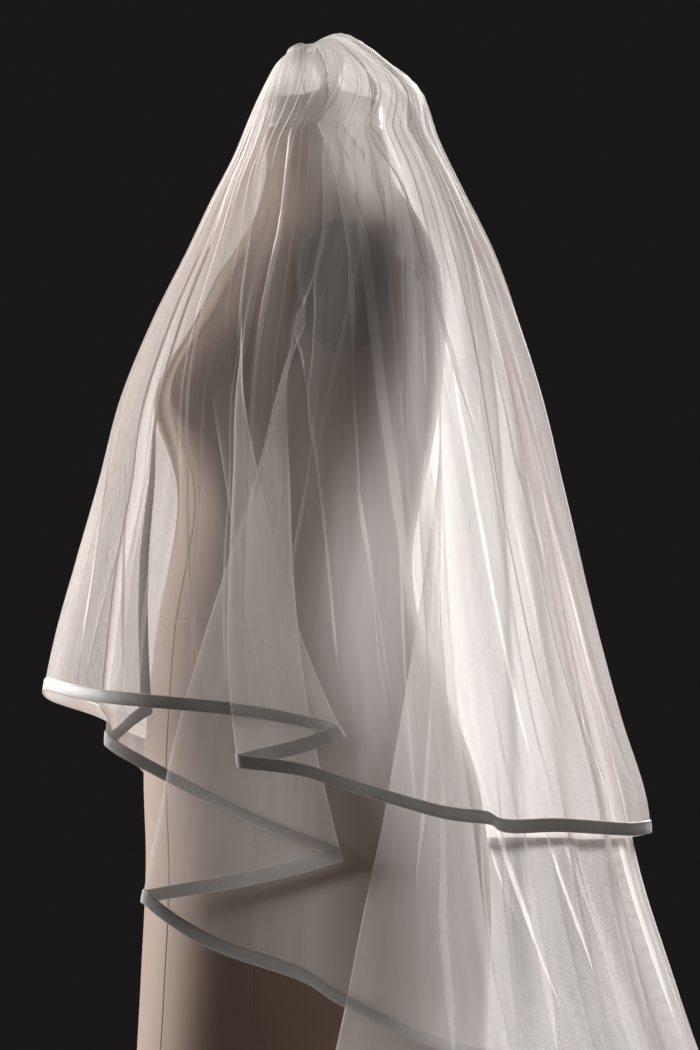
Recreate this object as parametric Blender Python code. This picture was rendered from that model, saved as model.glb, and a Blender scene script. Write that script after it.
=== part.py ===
"""A two-tier bridal veil of stiff tulle with satin ribbon edges, draped over a limbless dress form.

Metres, +Z up. The origin is on the floor under the stand's pole. The form faces -Y and its left
side is +X. Both tiers are gathered onto one narrow heading at the front of the form's neck finial.
From there each one falls over the neck and shoulders to its hem. The upper tier goes all the way
round. The lower tier is open at the front and its hem falls in a cascade towards the back.
"""
import math

import bmesh
import bpy
from mathutils import Vector
from mathutils.bvhtree import BVHTree

# Cloth and ribbon: the thickness of each, the ribbon's width, the gap it is laid on with, and the most
# of the first stretch of cloth that it takes up a free edge
CLOTH = 0.0010
RIBBON_WIDTH = 0.012
RIBBON_THICKNESS = 0.0009
SEAM_GAP = 0.0004
EDGE_RIBBON_MOST = 0.85

# How the folds run: they keep to the heading's own spacing at the top, are gathered as the neck column
# says at the neck, and move towards the hem column below the height where they start to turn
TURN_START = 1.420
TURN_POWER = 1.05
NECK_RING = 5
LOWER_HEADING_START = 6.0
LOWER_HEADING_END = 354.0

# The heading that both tiers are gathered onto
HEADING_HALF_LENGTH = 0.0316
HEADING_HALF_DEPTH = 0.0060
HEADING_BACK = -0.0270
HEADING_BOTTOM = 1.5240
HEADING_TOP = 1.5335

# The dress form and its stand
FORM_POINTS = 40
FORM_SQUARENESS = 2.3
BUST_APART = 0.075
BUST_HEIGHT = 1.205
BUST_REACH = 0.030
BUST_SPREAD_WIDE = 0.056
BUST_SPREAD_HIGH = 0.062
ARM_PLANE = 0.152
ARM_PLANE_LOW = 1.200
ARM_PLATE_HALF_WIDTH = 0.041
ARM_PLATE_HALF_HEIGHT = 0.060
ARM_PLATE_THICKNESS = 0.006
ARM_PLATE_FACE_SHARE = 0.93
ARM_PLATE_BACK = -0.009
ARM_PLATE_HEIGHT = 1.300
NECK_CAP_HALF_WIDTH = 0.0550
NECK_CAP_HALF_DEPTH = 0.0545
NECK_CAP_BOTTOM = 1.4570
NECK_CAP_TOP = 1.4850
NECK_CAP_BACK = -0.001
NECK_CAP_ROUNDING = 0.004
FINIAL_BACK = 0.004
FINIAL_SEAT_RADIUS = 0.010
POLE_RADIUS = 0.016
FORM_BOTTOM = 0.560
BASE_TOP = 0.020
BASE_RADIUS = 0.175
BASE_PROFILE = ((0.0, BASE_RADIUS), (0.008, BASE_RADIUS), (0.013, BASE_RADIUS - 0.006), (BASE_TOP, 0.030))
FACE_GAP = 0.0003

# Sections of the form: height, half width, front and back
FORM_SECTIONS = (
    ("lower_edge", FORM_BOTTOM, 0.165, -0.176, 0.146),
    ("thigh", 0.660, 0.170, -0.171, 0.151),
    ("hip", 0.770, 0.174, -0.166, 0.151),
    ("high_hip", 0.860, 0.168, -0.168, 0.138),
    ("belly", 0.930, 0.150, -0.163, 0.112),
    ("waist", 1.000, 0.128, -0.155, 0.086),
    ("above_waist", 1.060, 0.127, -0.143, 0.079),
    ("ribs", 1.115, 0.138, -0.134, 0.087),
    ("under_bust", 1.160, 0.149, -0.132, 0.096),
    ("bust", 1.205, 0.158, -0.132, 0.103),
    ("over_bust", 1.245, 0.166, -0.126, 0.107),
    ("chest", 1.290, 0.167, -0.112, 0.106),
    ("high_chest", 1.325, 0.166, -0.097, 0.101),
    ("shoulder", 1.350, 0.158, -0.080, 0.092),
    ("shoulder_top", 1.370, 0.138, -0.068, 0.083),
    ("shoulder_slope", 1.387, 0.110, -0.060, 0.074),
    ("neck_root", 1.402, 0.080, -0.056, 0.066),
    ("neck_base", 1.420, 0.062, -0.054, 0.059),
    ("neck", NECK_CAP_BOTTOM - FACE_GAP, 0.0545, -0.055, 0.053),
)

# How each tier hangs, from the heading down: where its front, side and back lie, how high each is,
# and the share of the folds' standing out that shows at that height
UPPER_DRAPE = (
    ("name", "front", "front_z", "side", "side_z", "back", "back_z", "share"),
    ("heading", -0.0341, 1.5300, 0.0329, 1.5300, -0.0199, 1.5300, 0.00),
    ("rise", -0.0390, 1.5250, 0.0410, 1.5310, -0.0020, 1.5430, 0.03),
    ("crest", -0.0470, 1.5160, 0.0530, 1.5270, 0.0210, 1.5460, 0.06),
    ("cap", -0.0605, 1.4890, 0.0780, 1.5060, 0.0590, 1.5190, 0.12),
    ("nape", -0.0710, 1.4660, 0.1050, 1.4790, 0.0880, 1.4900, 0.18),
    ("neck", -0.0855, 1.4310, 0.1380, 1.4430, 0.0990, 1.4480, 0.24),
    ("shoulder", -0.1050, 1.3930, 0.1720, 1.4050, 0.1235, 1.3930, 0.28),
    ("high_chest", -0.1280, 1.3450, 0.1985, 1.3450, 0.1485, 1.3450, 0.37),
    ("chest", -0.1600, 1.2810, 0.2130, 1.2810, 0.1748, 1.2810, 0.50),
    ("bust", -0.1907, 1.2060, 0.2230, 1.2060, 0.2000, 1.2060, 0.65),
    ("ribs", -0.2103, 1.1310, 0.2340, 1.1310, 0.2187, 1.1310, 0.80),
    ("waist", -0.2318, 1.0560, 0.2450, 1.0560, 0.2374, 1.0560, 0.92),
    ("belly", -0.2523, 0.9815, 0.2570, 0.9815, 0.2561, 0.9815, 1.00),
    ("hip", -0.2660, 0.9070, 0.2730, 0.9070, 0.2766, 0.9070, 1.00),
    ("low_hip", -0.2720, 0.8320, 0.2870, 0.8320, 0.3000, 0.8320, 1.00),
    ("end", -0.2760, 0.7600, 0.2920, 0.7600, 0.3050, 0.7600, 1.00),
)
LOWER_DRAPE = (
    ("name", "front", "front_z", "side", "side_z", "back", "back_z", "share"),
    ("heading", -0.0341, 1.5245, 0.0329, 1.5245, -0.0199, 1.5245, 0.00),
    ("rise", -0.0380, 1.5185, 0.0400, 1.5205, -0.0030, 1.5350, 0.02),
    ("crest", -0.0440, 1.5100, 0.0500, 1.5160, 0.0180, 1.5380, 0.04),
    ("cap", -0.0575, 1.4880, 0.0710, 1.4970, 0.0540, 1.5110, 0.08),
    ("nape", -0.0660, 1.4650, 0.0960, 1.4710, 0.0810, 1.4790, 0.12),
    ("neck", -0.0780, 1.4310, 0.1290, 1.4350, 0.0940, 1.4400, 0.17),
    ("shoulder", -0.0970, 1.3930, 0.1640, 1.3970, 0.1160, 1.3880, 0.22),
    ("high_chest", -0.1200, 1.3450, 0.1870, 1.3450, 0.1400, 1.3450, 0.29),
    ("chest", -0.1510, 1.2810, 0.1985, 1.2810, 0.1640, 1.2810, 0.43),
    ("bust", -0.1800, 1.2060, 0.2050, 1.2060, 0.1870, 1.2060, 0.56),
    ("ribs", -0.1955, 1.1310, 0.2125, 1.1310, 0.2040, 1.1310, 0.70),
    ("waist", -0.2145, 1.0560, 0.2220, 1.0560, 0.2215, 1.0560, 0.84),
    ("belly", -0.2290, 0.9815, 0.2320, 0.9815, 0.2390, 0.9815, 0.95),
    ("hip", -0.2400, 0.9070, 0.2460, 0.9070, 0.2580, 0.9070, 1.00),
    ("low_hip", -0.2420, 0.8320, 0.2580, 0.8320, 0.2760, 0.8320, 1.00),
    ("thigh", -0.2420, 0.7570, 0.2660, 0.7570, 0.2935, 0.7570, 1.00),
    ("mid_thigh", -0.2400, 0.6820, 0.2720, 0.6820, 0.3187, 0.6820, 1.00),
    ("low_thigh", -0.2400, 0.6080, 0.2780, 0.6080, 0.3458, 0.6080, 1.00),
    ("knee", -0.2400, 0.5400, 0.2830, 0.5400, 0.3720, 0.5400, 1.00),
    ("calf", -0.2400, 0.4700, 0.2850, 0.4700, 0.3980, 0.4700, 1.00),
    ("end", -0.2400, 0.3900, 0.2850, 0.3900, 0.4200, 0.3900, 1.00),
)

# Shares of the way from the chest to the ribbon at which each tier's rings lie, how far apart the
# points of a ring may be, and the sharpest turn that the wall's thickness is evened out for
FALL_SHARES = (0.09, 0.18, 0.27, 0.37, 0.49, 0.64, 0.82, 1.00)
DEGREES_PER_POINT = 10.0
SHARPEST_TURN = 0.70

# Folds of the upper tier, all round from the front centre by way of the form's left side: the turn in
# degrees at the neck and at the hem, how far it stands out there, and its height
UPPER_FOLDS = (
    ("name", "neck", "hem", "out", "height"),
    ("front_corner", 3, 4, 0.000, 0.938),
    ("front_left", 14, 31, -0.001, 0.934),
    ("chest_left", 23, 53, -0.006, 0.931),
    ("under_pleat", 28, 66, -0.012, 0.927),
    ("under_pleat_end", 31, 76, -0.016, 0.920),
    ("inner_turn", 34, 82.5, -0.019, 0.914),
    ("inner_turn_out", 38, 82.5, -0.010, 0.910),
    ("pleat_middle", 43, 75, -0.006, 0.898),
    ("outer_turn", 48, 65, -0.002, 0.886),
    ("outer_turn_out", 53, 65, 0.007, 0.883),
    ("pleat_face", 60, 75, 0.007, 0.877),
    ("side", 73, 85, 0.006, 0.861),
    ("side_back", 88, 98, 0.004, 0.841),
    ("small_turn", 97, 108, -0.010, 0.835),
    ("small_turn_out", 103, 110, 0.003, 0.827),
    ("back_left_face", 115, 122, 0.002, 0.824),
    ("back_left", 138, 146, -0.005, 0.811),
    ("back_corner", 164, 168, 0.000, 0.802),
    ("back_return", 186, 189, -0.003, 0.786),
    ("back_hollow", 199, 201, -0.014, 0.780),
    ("back_right_turn", 211, 210, 0.002, 0.776),
    ("back_right", 229, 229, 0.001, 0.770),
    ("right_hollow", 240, 239, -0.015, 0.772),
    ("right_crest", 252, 250, -0.001, 0.774),
    ("right_side", 263, 262, 0.001, 0.790),
    ("right_inner", 273, 270, -0.016, 0.806),
    ("right_outer", 283, 278, 0.000, 0.818),
    ("right_front", 294, 290, -0.006, 0.846),
    ("right_front_in", 304, 299, -0.015, 0.864),
    ("right_front_out", 314, 307, -0.002, 0.880),
    ("front_right", 328, 322, -0.010, 0.904),
    ("front_right_corner", 347, 343, -0.003, 0.923),
)

# Folds of the lower tier, from its free edge at the front left, round the back, to the front right
LOWER_FOLDS = (
    ("name", "neck", "hem", "out", "height"),
    ("left_edge", 5, 36, -0.018, 0.926),
    ("left_edge_bend", 11, 31, -0.015, 0.914),
    ("first_turn", 18, 26, -0.010, 0.897),
    ("first_turn_out", 24, 26.5, -0.002, 0.892),
    ("first_face", 34, 42, -0.014, 0.866),
    ("first_under", 45, 62, -0.031, 0.830),
    ("first_inner", 56, 77.5, -0.041, 0.806),
    ("first_inner_out", 61, 77.5, -0.031, 0.801),
    ("second_back", 69, 60, -0.020, 0.781),
    ("second_turn", 77, 39, -0.006, 0.762),
    ("second_turn_out", 82, 39, 0.002, 0.758),
    ("second_face", 88, 52, -0.002, 0.727),
    ("second_step", 94, 68, -0.011, 0.703),
    ("second_under", 99, 75, -0.016, 0.682),
    ("second_middle", 104, 88, -0.021, 0.651),
    ("second_inner", 110, 104, -0.023, 0.627),
    ("second_inner_out", 115, 104, -0.013, 0.622),
    ("third_back", 121, 88, -0.008, 0.612),
    ("third_turn", 127, 72, -0.003, 0.602),
    ("third_turn_out", 133, 72, 0.005, 0.598),
    ("third_face", 138, 86, 0.003, 0.574),
    ("side_face", 142, 98, 0.001, 0.549),
    ("side_hollow", 146, 106, -0.012, 0.538),
    ("side_crest", 150, 112, 0.000, 0.530),
    ("back_left_face", 155, 124, -0.006, 0.506),
    ("back_left_crest", 160, 136, 0.000, 0.486),
    ("back_left_hollow", 165, 147, -0.016, 0.480),
    ("back_left_fold", 170, 157, -0.002, 0.462),
    ("back_crest", 177, 172, 0.001, 0.440),
    ("back_crest_end", 184, 187, 0.000, 0.424),
    ("back_hollow", 193, 198, -0.016, 0.418),
    ("back_right_fold", 201, 208, -0.001, 0.410),
    ("back_right_crest", 209, 220, -0.003, 0.404),
    ("right_hollow", 216, 230, -0.016, 0.410),
    ("right_crest", 223, 240, -0.003, 0.424),
    ("right_side", 228, 250, -0.006, 0.436),
    ("right_face", 234, 264, -0.003, 0.458),
    ("third_turn_right", 239, 280, 0.002, 0.492),
    ("third_turn_right_in", 243, 280, -0.006, 0.500),
    ("third_back_right", 250, 269, -0.011, 0.524),
    ("second_inner_right", 257, 256, -0.017, 0.550),
    ("second_inner_right_in", 262, 256, -0.027, 0.556),
    ("second_middle_right", 267, 268, -0.025, 0.588),
    ("second_face_right", 272, 286, -0.018, 0.634),
    ("second_turn_right", 277, 306, -0.008, 0.670),
    ("second_turn_right_in", 282, 306, -0.016, 0.676),
    ("second_back_right", 289, 294, -0.024, 0.704),
    ("first_inner_right", 296, 282, -0.032, 0.738),
    ("first_inner_right_in", 301, 282, -0.042, 0.744),
    ("first_under_right", 310, 298, -0.036, 0.782),
    ("first_face_right", 322, 312, -0.026, 0.834),
    ("first_turn_right", 334, 323, -0.015, 0.876),
    ("right_edge_bend", 344, 329, -0.017, 0.902),
    ("right_edge", 353, 335, -0.018, 0.916),
)

# Turned profile of the finial below its seat: share of its height, and radius
FINIAL_PROFILE = (
    ("foot", 0.00, 0.026),
    ("foot_top", 0.12, 0.026),
    ("stem", 0.22, 0.010),
    ("stem_top", 0.42, 0.010),
    ("knob_low", 0.58, 0.013),
    ("knob", 0.76, 0.0155),
    ("knob_high", 0.92, 0.0130),
    ("seat", 1.00, FINIAL_SEAT_RADIUS),
)

# Colour, roughness and metallic value of each finish
FINISHES = {
    "tulle": ((0.92, 0.89, 0.87), 0.75, 0.0),
    "satin_ribbon": ((0.86, 0.83, 0.80), 0.35, 0.0),
    "form_cover": ((0.72, 0.56, 0.47), 0.80, 0.0),
    "arm_plate": ((0.05, 0.045, 0.045), 0.45, 0.0),
    "neck_cap": ((0.90, 0.89, 0.87), 0.40, 0.0),
    "stand": ((0.10, 0.095, 0.09), 0.40, 0.6),
}


def table(rows):
    """Rows of a table as dictionaries named by its first row."""
    names = rows[0]
    return [dict(zip(names, row)) for row in rows[1:]]


def finish(name):
    """The material of that name, made once."""
    material = bpy.data.materials.get(name)
    if material is None:
        colour, roughness, metallic = FINISHES[name]
        material = bpy.data.materials.new(name)
        material.use_nodes = True
        shader = material.node_tree.nodes["Principled BSDF"]
        shader.inputs["Base Color"].default_value = (*colour, 1.0)
        shader.inputs["Roughness"].default_value = roughness
        shader.inputs["Metallic"].default_value = metallic
    return material


def add_solid(name, points, faces, finish_name):
    """A closed mesh object from points and faces, with its faces pointing out."""
    mesh = bpy.data.meshes.new(name)
    mesh.from_pydata([tuple(p) for p in points], [], faces)
    shape = bmesh.new()
    shape.from_mesh(mesh)
    bmesh.ops.recalc_face_normals(shape, faces=shape.faces)
    shape.to_mesh(mesh)
    shape.free()
    mesh.shade_smooth()
    mesh.set_sharp_from_angle(angle=math.radians(50))
    mesh.materials.append(finish(finish_name))
    solid = bpy.data.objects.new(name, mesh)
    bpy.context.scene.collection.objects.link(solid)
    return solid


def smooth_path(stops, closed):
    """Points on one smooth curve through the stops, more of them where the stops lie far apart."""
    count = len(stops)
    stretches = count if closed else count - 1
    path = []
    for i in range(stretches):
        before = i - 1 if closed or i > 0 else i
        after = i + 2 if closed or i + 2 < count else i + 1
        a, b, c, d = stops[before], stops[i], stops[(i + 1) % count], stops[after % count]
        a = turn_back(a, b)
        c = turn_on(c, b)
        d = turn_on(d, b)
        steps = 1 + int(abs(c[2] - b[2]) / DEGREES_PER_POINT)
        for step in range(steps):
            t = step / steps
            path.append(
                0.5 * (2 * b + (c - a) * t + (2 * a - 5 * b + 4 * c - d) * t**2
                       + (3 * b - a - 3 * c + d) * t**3)
            )
    if not closed:
        path.append(stops[-1].copy())
    return path


def turn_on(stop, base):
    """The stop with its angles raised by a full turn where it comes round past the front."""
    lap = 360.0 if stop[0] < base[0] - 180 else 0.0
    return stop + Vector((lap, lap, lap, 0.0, 0.0))


def turn_back(stop, base):
    """The stop with its angles lowered by a full turn where it comes round past the front."""
    lap = 360.0 if stop[0] > base[0] + 180 else 0.0
    return stop - Vector((lap, lap, lap, 0.0, 0.0))


def fold_path(fold_rows, closed):
    """Points along a tier: heading angle, neck angle, hem angle, standing out and hem height."""
    rows = table(fold_rows)
    if closed:
        start, pitch = rows[0]["neck"], 360.0 / len(rows)
    else:
        start, pitch = LOWER_HEADING_START, (LOWER_HEADING_END - LOWER_HEADING_START) / (len(rows) - 1)
    stops = [
        Vector((start + pitch * i, row["neck"], row["hem"], row["out"], row["height"]))
        for i, row in enumerate(rows)
    ]
    return smooth_path(stops, closed)


def drape_point(drape, place, degrees):
    """The point of a tier's plain drape at a place down its rows and an angle from the front."""
    upper = min(int(place), len(drape) - 2)
    part = place - upper
    row = {
        key: drape[upper][key] + (drape[upper + 1][key] - drape[upper][key]) * part
        for key in ("front", "front_z", "side", "side_z", "back", "back_z")
    }
    across, along = math.sin(math.radians(degrees)), -math.cos(math.radians(degrees))
    middle, half_depth = (row["front"] + row["back"]) / 2, (row["back"] - row["front"]) / 2
    end_z = row["front_z"] if along < 0 else row["back_z"]
    height = across * across * row["side_z"] + along * along * end_z
    return Vector((row["side"] * across, middle + half_depth * along, height))


def place_at_height(drape, height):
    """The place down the drape's level rows that lies at a height."""
    for i in range(NECK_RING + 2, len(drape) - 1):
        top, bottom = drape[i]["side_z"], drape[i + 1]["side_z"]
        if height >= bottom:
            return i + (top - height) / (top - bottom)
    return len(drape) - 1.0


def tier_point(drape, place, column):
    """The point of a tier's inner side at a place down the drape, for one column of its folds."""
    at_heading, at_neck, at_hem, out, hem_height = column
    upper = min(int(place), len(drape) - 2)
    part = place - upper
    share = drape[upper]["share"] + (drape[upper + 1]["share"] - drape[upper]["share"]) * part
    height = drape[upper]["side_z"] + (drape[upper + 1]["side_z"] - drape[upper]["side_z"]) * part
    gather = min(place / NECK_RING, 1.0)
    turned_part = min(max((TURN_START - height) / (TURN_START - hem_height), 0.0), 1.0) ** TURN_POWER
    degrees = at_heading + (at_neck - at_heading) * gather + (at_hem - at_neck) * turned_part
    step = 0.01
    here = drape_point(drape, place, degrees)
    around = drape_point(drape, place, degrees + 0.5) - drape_point(drape, place, degrees - 0.5)
    down = drape_point(drape, place + step, degrees) - drape_point(drape, max(place - step, 0), degrees)
    return here + down.cross(around).normalized() * (out * share)


def tier_rings(drape_rows, fold_rows, closed):
    """The inner surface of a tier: rings of points from the heading to the hem."""
    drape = table(drape_rows)
    columns = fold_path(fold_rows, closed)
    level = NECK_RING + 2
    rings = [[tier_point(drape, place, column) for column in columns] for place in range(level + 1)]
    level_z = drape[level]["side_z"]
    for fall in FALL_SHARES:
        ring = []
        for column in columns:
            ribbon_top = column[4] + RIBBON_WIDTH
            place = place_at_height(drape, level_z + (ribbon_top - level_z) * fall)
            ring.append(tier_point(drape, place, column))
        rings.append(ring)
    rings.append([tier_point(drape, place_at_height(drape, column[4]), column) for column in columns])
    return rings if closed else [with_edge_columns(ring) for ring in rings]


def with_edge_columns(ring):
    """An open ring with one more point at each end, a ribbon's width in from the free edge."""
    into, out_of = ring[1] - ring[0], ring[-2] - ring[-1]
    first = ring[0] + into * min(RIBBON_WIDTH / into.length, EDGE_RIBBON_MOST)
    last = ring[-1] + out_of * min(RIBBON_WIDTH / out_of.length, EDGE_RIBBON_MOST)
    return [ring[0], first, *ring[1:-1], last, ring[-1]]


def outward_normals(rings, closed):
    """The way out from the form at each point of a tier, longer at sharp turns to keep the wall even."""
    columns = len(rings[0])
    normals = []
    for i, ring in enumerate(rings):
        above, below = rings[max(i - 1, 0)], rings[min(i + 1, len(rings) - 1)]
        line = []
        for j, point in enumerate(ring):
            if closed:
                before, after = ring[j - 1], ring[(j + 1) % columns]
            else:
                before, after = ring[max(j - 1, 0)], ring[min(j + 1, columns - 1)]
            rise = (above[j] - point).normalized() + (point - below[j]).normalized()
            leaving, coming = (after - point).normalized(), (point - before).normalized()
            normal = (leaving + coming).cross(rise).normalized()
            face = (leaving if leaving.length > 0 else coming).cross(rise).normalized()
            line.append(normal / max(normal.dot(face), SHARPEST_TURN))
        normals.append(line)
    return normals


def wall(name, rings, normals, closed, finish_name, start, thickness):
    """A closed solid wall that follows the rings, from a start distance out to its thickness more."""
    columns = len(rings[0])
    inner = [p + n * start for ring, line in zip(rings, normals) for p, n in zip(ring, line)]
    outer = [p + n * thickness for p, n in zip(inner, (n for line in normals for n in line))]
    offset = len(inner)
    points = inner + outer
    faces = []
    spans = columns if closed else columns - 1
    for i in range(len(rings) - 1):
        for j in range(spans):
            a, b = i * columns + j, i * columns + (j + 1) % columns
            c, d = b + columns, a + columns
            faces += [(a, b, c), (a, c, d)]
            faces += [(a + offset, c + offset, b + offset), (a + offset, d + offset, c + offset)]
    bottom = (len(rings) - 1) * columns
    for j in range(spans):
        k = (j + 1) % columns
        faces.append((j, j + offset, k + offset, k))
        faces.append((bottom + j, bottom + k, bottom + k + offset, bottom + j + offset))
    if not closed:
        for i in range(len(rings) - 1):
            for j in (0, columns - 1):
                a, b = i * columns + j, (i + 1) * columns + j
                faces.append((a, b, b + offset, a + offset))
    return add_solid(name, points, faces, finish_name)


def edge_ribbon(name, rings, normals, columns):
    """The ribbon up a free edge of the lower tier, from just above the hem's ribbon to the chest."""
    strip = [ring[columns] for ring in rings[NECK_RING + 2:-1]]
    ways = [line[columns] for line in normals[NECK_RING + 2:-1]]
    lift = [(above - point).normalized() * SEAM_GAP for above, point in zip(strip[-2], strip[-1])]
    strip[-1] = [point + rise for point, rise in zip(strip[-1], lift)]
    return wall(name, strip, ways, False, "satin_ribbon", CLOTH + SEAM_GAP, RIBBON_THICKNESS)


def heading_solid():
    """The narrow bound heading that both tiers are stitched to."""
    count = 32
    points = []
    for z in (HEADING_BOTTOM, HEADING_TOP):
        for k in range(count):
            angle = 2 * math.pi * k / count
            points.append(Vector((
                HEADING_HALF_LENGTH * math.sin(angle),
                HEADING_BACK - HEADING_HALF_DEPTH * math.cos(angle),
                z,
            )))
    faces = [tuple(range(count)), tuple(range(count, 2 * count))]
    faces += [(k, (k + 1) % count, count + (k + 1) % count, count + k) for k in range(count)]
    return add_solid("gathered_heading", points, faces, "satin_ribbon")


def bust_reach(x, z):
    """How far the form's front stands out at the bust."""
    swell = 0.0
    for side in (-1, 1):
        wide = (x - side * BUST_APART) / BUST_SPREAD_WIDE
        high = (z - BUST_HEIGHT) / BUST_SPREAD_HIGH
        swell += math.exp(-wide * wide - high * high)
    return BUST_REACH * min(swell, 1.2)


def form_solid():
    """The limbless torso, from its flat lower edge to the top of its neck."""
    points = []
    power = 2 / FORM_SQUARENESS
    for _, z, half_width, front, back in FORM_SECTIONS:
        middle, half_depth = (front + back) / 2, (back - front) / 2
        for k in range(FORM_POINTS):
            angle = 2 * math.pi * (k + 0.5) / FORM_POINTS
            s, c = math.sin(angle), -math.cos(angle)
            x = half_width * math.copysign(abs(s) ** power, s)
            y = middle + half_depth * math.copysign(abs(c) ** power, c)
            if c < 0:
                y -= bust_reach(x, z) * abs(c) ** 0.5
            if z >= ARM_PLANE_LOW:
                x = math.copysign(min(abs(x), ARM_PLANE), x)
            points.append(Vector((x, y, z)))
    rows = len(FORM_SECTIONS)
    faces = [tuple(range(FORM_POINTS)), tuple(range((rows - 1) * FORM_POINTS, rows * FORM_POINTS))]
    for i in range(rows - 1):
        for k in range(FORM_POINTS):
            a, b = i * FORM_POINTS + k, i * FORM_POINTS + (k + 1) % FORM_POINTS
            faces.append((a, b, b + FORM_POINTS, a + FORM_POINTS))
    return add_solid("dress_form", points, faces, "form_cover")


def arm_plate(name, side):
    """An oval plate that closes an armhole, seated on the form's flat side."""
    count = 28
    seat = ARM_PLANE + FACE_GAP
    points = []
    rim, face = seat + ARM_PLATE_THICKNESS * 0.6, seat + ARM_PLATE_THICKNESS
    for reach, shrink in ((seat, 1.0), (rim, 1.0), (face, ARM_PLATE_FACE_SHARE)):
        for k in range(count):
            angle = 2 * math.pi * k / count
            points.append(Vector((
                side * reach,
                ARM_PLATE_BACK + ARM_PLATE_HALF_WIDTH * shrink * math.cos(angle),
                ARM_PLATE_HEIGHT + ARM_PLATE_HALF_HEIGHT * shrink * math.sin(angle),
            )))
    faces = [tuple(range(count)), tuple(range(2 * count, 3 * count))]
    for i in range(2):
        for k in range(count):
            a, b = i * count + k, i * count + (k + 1) % count
            faces.append((a, b, b + count, a + count))
    return add_solid(name, points, faces, "arm_plate")


def turned(name, profile, back, finish_name, count=28, depth=1.0):
    """A turned solid from (height, radius) pairs, with flat ends; depth squeezes it front to back."""
    points = []
    for z, radius in profile:
        for k in range(count):
            angle = 2 * math.pi * k / count
            x, y = radius * math.sin(angle), -depth * radius * math.cos(angle)
            points.append(Vector((x, back + y, z)))
    rows = len(profile)
    faces = [tuple(range(count)), tuple(range((rows - 1) * count, rows * count))]
    for i in range(rows - 1):
        for k in range(count):
            a, b = i * count + k, i * count + (k + 1) % count
            faces.append((a, b, b + count, a + count))
    return add_solid(name, points, faces, finish_name)


def seat_height(cloth):
    """The height at which the finial's flat top just meets the underside of the cloth above it."""
    mesh = cloth.data
    tree = BVHTree.FromPolygons([v.co for v in mesh.vertices], [p.vertices for p in mesh.polygons])
    lowest = HEADING_TOP
    rays = 48
    for ring in range(5):
        radius = FINIAL_SEAT_RADIUS * ring / 4
        for k in range(rays):
            angle = 2 * math.pi * k / rays
            x, y = radius * math.sin(angle), radius * math.cos(angle)
            foot = Vector((x, FINIAL_BACK + y, NECK_CAP_TOP + 0.01))
            hit = tree.ray_cast(foot, Vector((0, 0, 1)))[0]
            if hit is not None:
                lowest = min(lowest, hit.z)
    return lowest - SEAM_GAP


def build():
    for thing in list(bpy.data.objects):
        bpy.data.objects.remove(thing)

    upper = tier_rings(UPPER_DRAPE, UPPER_FOLDS, True)
    lower = tier_rings(LOWER_DRAPE, LOWER_FOLDS, False)
    upper_out, lower_out = outward_normals(upper, True), outward_normals(lower, False)
    wall("upper_tier", upper, upper_out, True, "tulle", 0.0, CLOTH)
    lower_tier = wall("lower_tier", lower, lower_out, False, "tulle", 0.0, CLOTH)
    seat = CLOTH + SEAM_GAP
    wall("upper_ribbon", upper[-2:], upper_out[-2:], True, "satin_ribbon", seat, RIBBON_THICKNESS)
    wall("lower_ribbon", lower[-2:], lower_out[-2:], False, "satin_ribbon", seat, RIBBON_THICKNESS)
    edge_ribbon("left_edge_ribbon", lower, lower_out, slice(0, 2))
    edge_ribbon("right_edge_ribbon", lower, lower_out, slice(-2, None))
    heading_solid()

    form_solid()
    arm_plate("left_arm_plate", 1)
    arm_plate("right_arm_plate", -1)
    rim, squeeze = NECK_CAP_HALF_WIDTH, NECK_CAP_HALF_DEPTH / NECK_CAP_HALF_WIDTH
    cap_edge = (
        (NECK_CAP_BOTTOM, rim),
        (NECK_CAP_TOP - NECK_CAP_ROUNDING, rim),
        (NECK_CAP_TOP, rim - NECK_CAP_ROUNDING),
    )
    turned("neck_cap", cap_edge, NECK_CAP_BACK, "neck_cap", 40, squeeze)
    foot, top = NECK_CAP_TOP + FACE_GAP, seat_height(lower_tier)
    finial_edge = [(foot + (top - foot) * share, radius) for _, share, radius in FINIAL_PROFILE]
    turned("finial", finial_edge, FINIAL_BACK, "neck_cap")
    pole_ends = ((BASE_TOP + FACE_GAP, POLE_RADIUS), (FORM_BOTTOM - FACE_GAP, POLE_RADIUS))
    turned("pole", pole_ends, 0.0, "stand")
    turned("base", BASE_PROFILE, 0.0, "stand", 44)


build()
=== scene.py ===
"""The looks of a two-tier bridal veil of sheer tulle with satin ribbon edges on a limbless dress form.

Metres, +Z up. The form faces -Y and its left side is +X. Both tiers are fine sheets that follow the
frame's folds, with the small gathers that run down from the heading added to them.
"""

import math

import bpy
import numpy as np
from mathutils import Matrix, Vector


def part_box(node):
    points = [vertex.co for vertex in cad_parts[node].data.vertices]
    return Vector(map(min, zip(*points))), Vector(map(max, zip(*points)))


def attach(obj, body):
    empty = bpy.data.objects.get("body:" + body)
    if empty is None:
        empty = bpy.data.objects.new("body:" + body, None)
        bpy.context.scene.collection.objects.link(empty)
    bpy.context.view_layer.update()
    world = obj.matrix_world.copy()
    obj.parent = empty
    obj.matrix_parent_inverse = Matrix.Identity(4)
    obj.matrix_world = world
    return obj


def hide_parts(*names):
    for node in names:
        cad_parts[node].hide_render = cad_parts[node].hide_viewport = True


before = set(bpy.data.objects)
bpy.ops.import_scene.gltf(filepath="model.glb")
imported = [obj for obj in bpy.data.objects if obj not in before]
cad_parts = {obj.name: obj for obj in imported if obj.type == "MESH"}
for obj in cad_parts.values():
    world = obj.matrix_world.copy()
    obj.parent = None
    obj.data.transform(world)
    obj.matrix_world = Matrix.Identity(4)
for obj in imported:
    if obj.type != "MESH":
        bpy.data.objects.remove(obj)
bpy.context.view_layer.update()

# Cloth: the rows of its sheets down to the chest, half its thickness, how finely its drape is read, and
# each tier's rows below the chest and columns
CROWN_ROWS = 24
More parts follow.
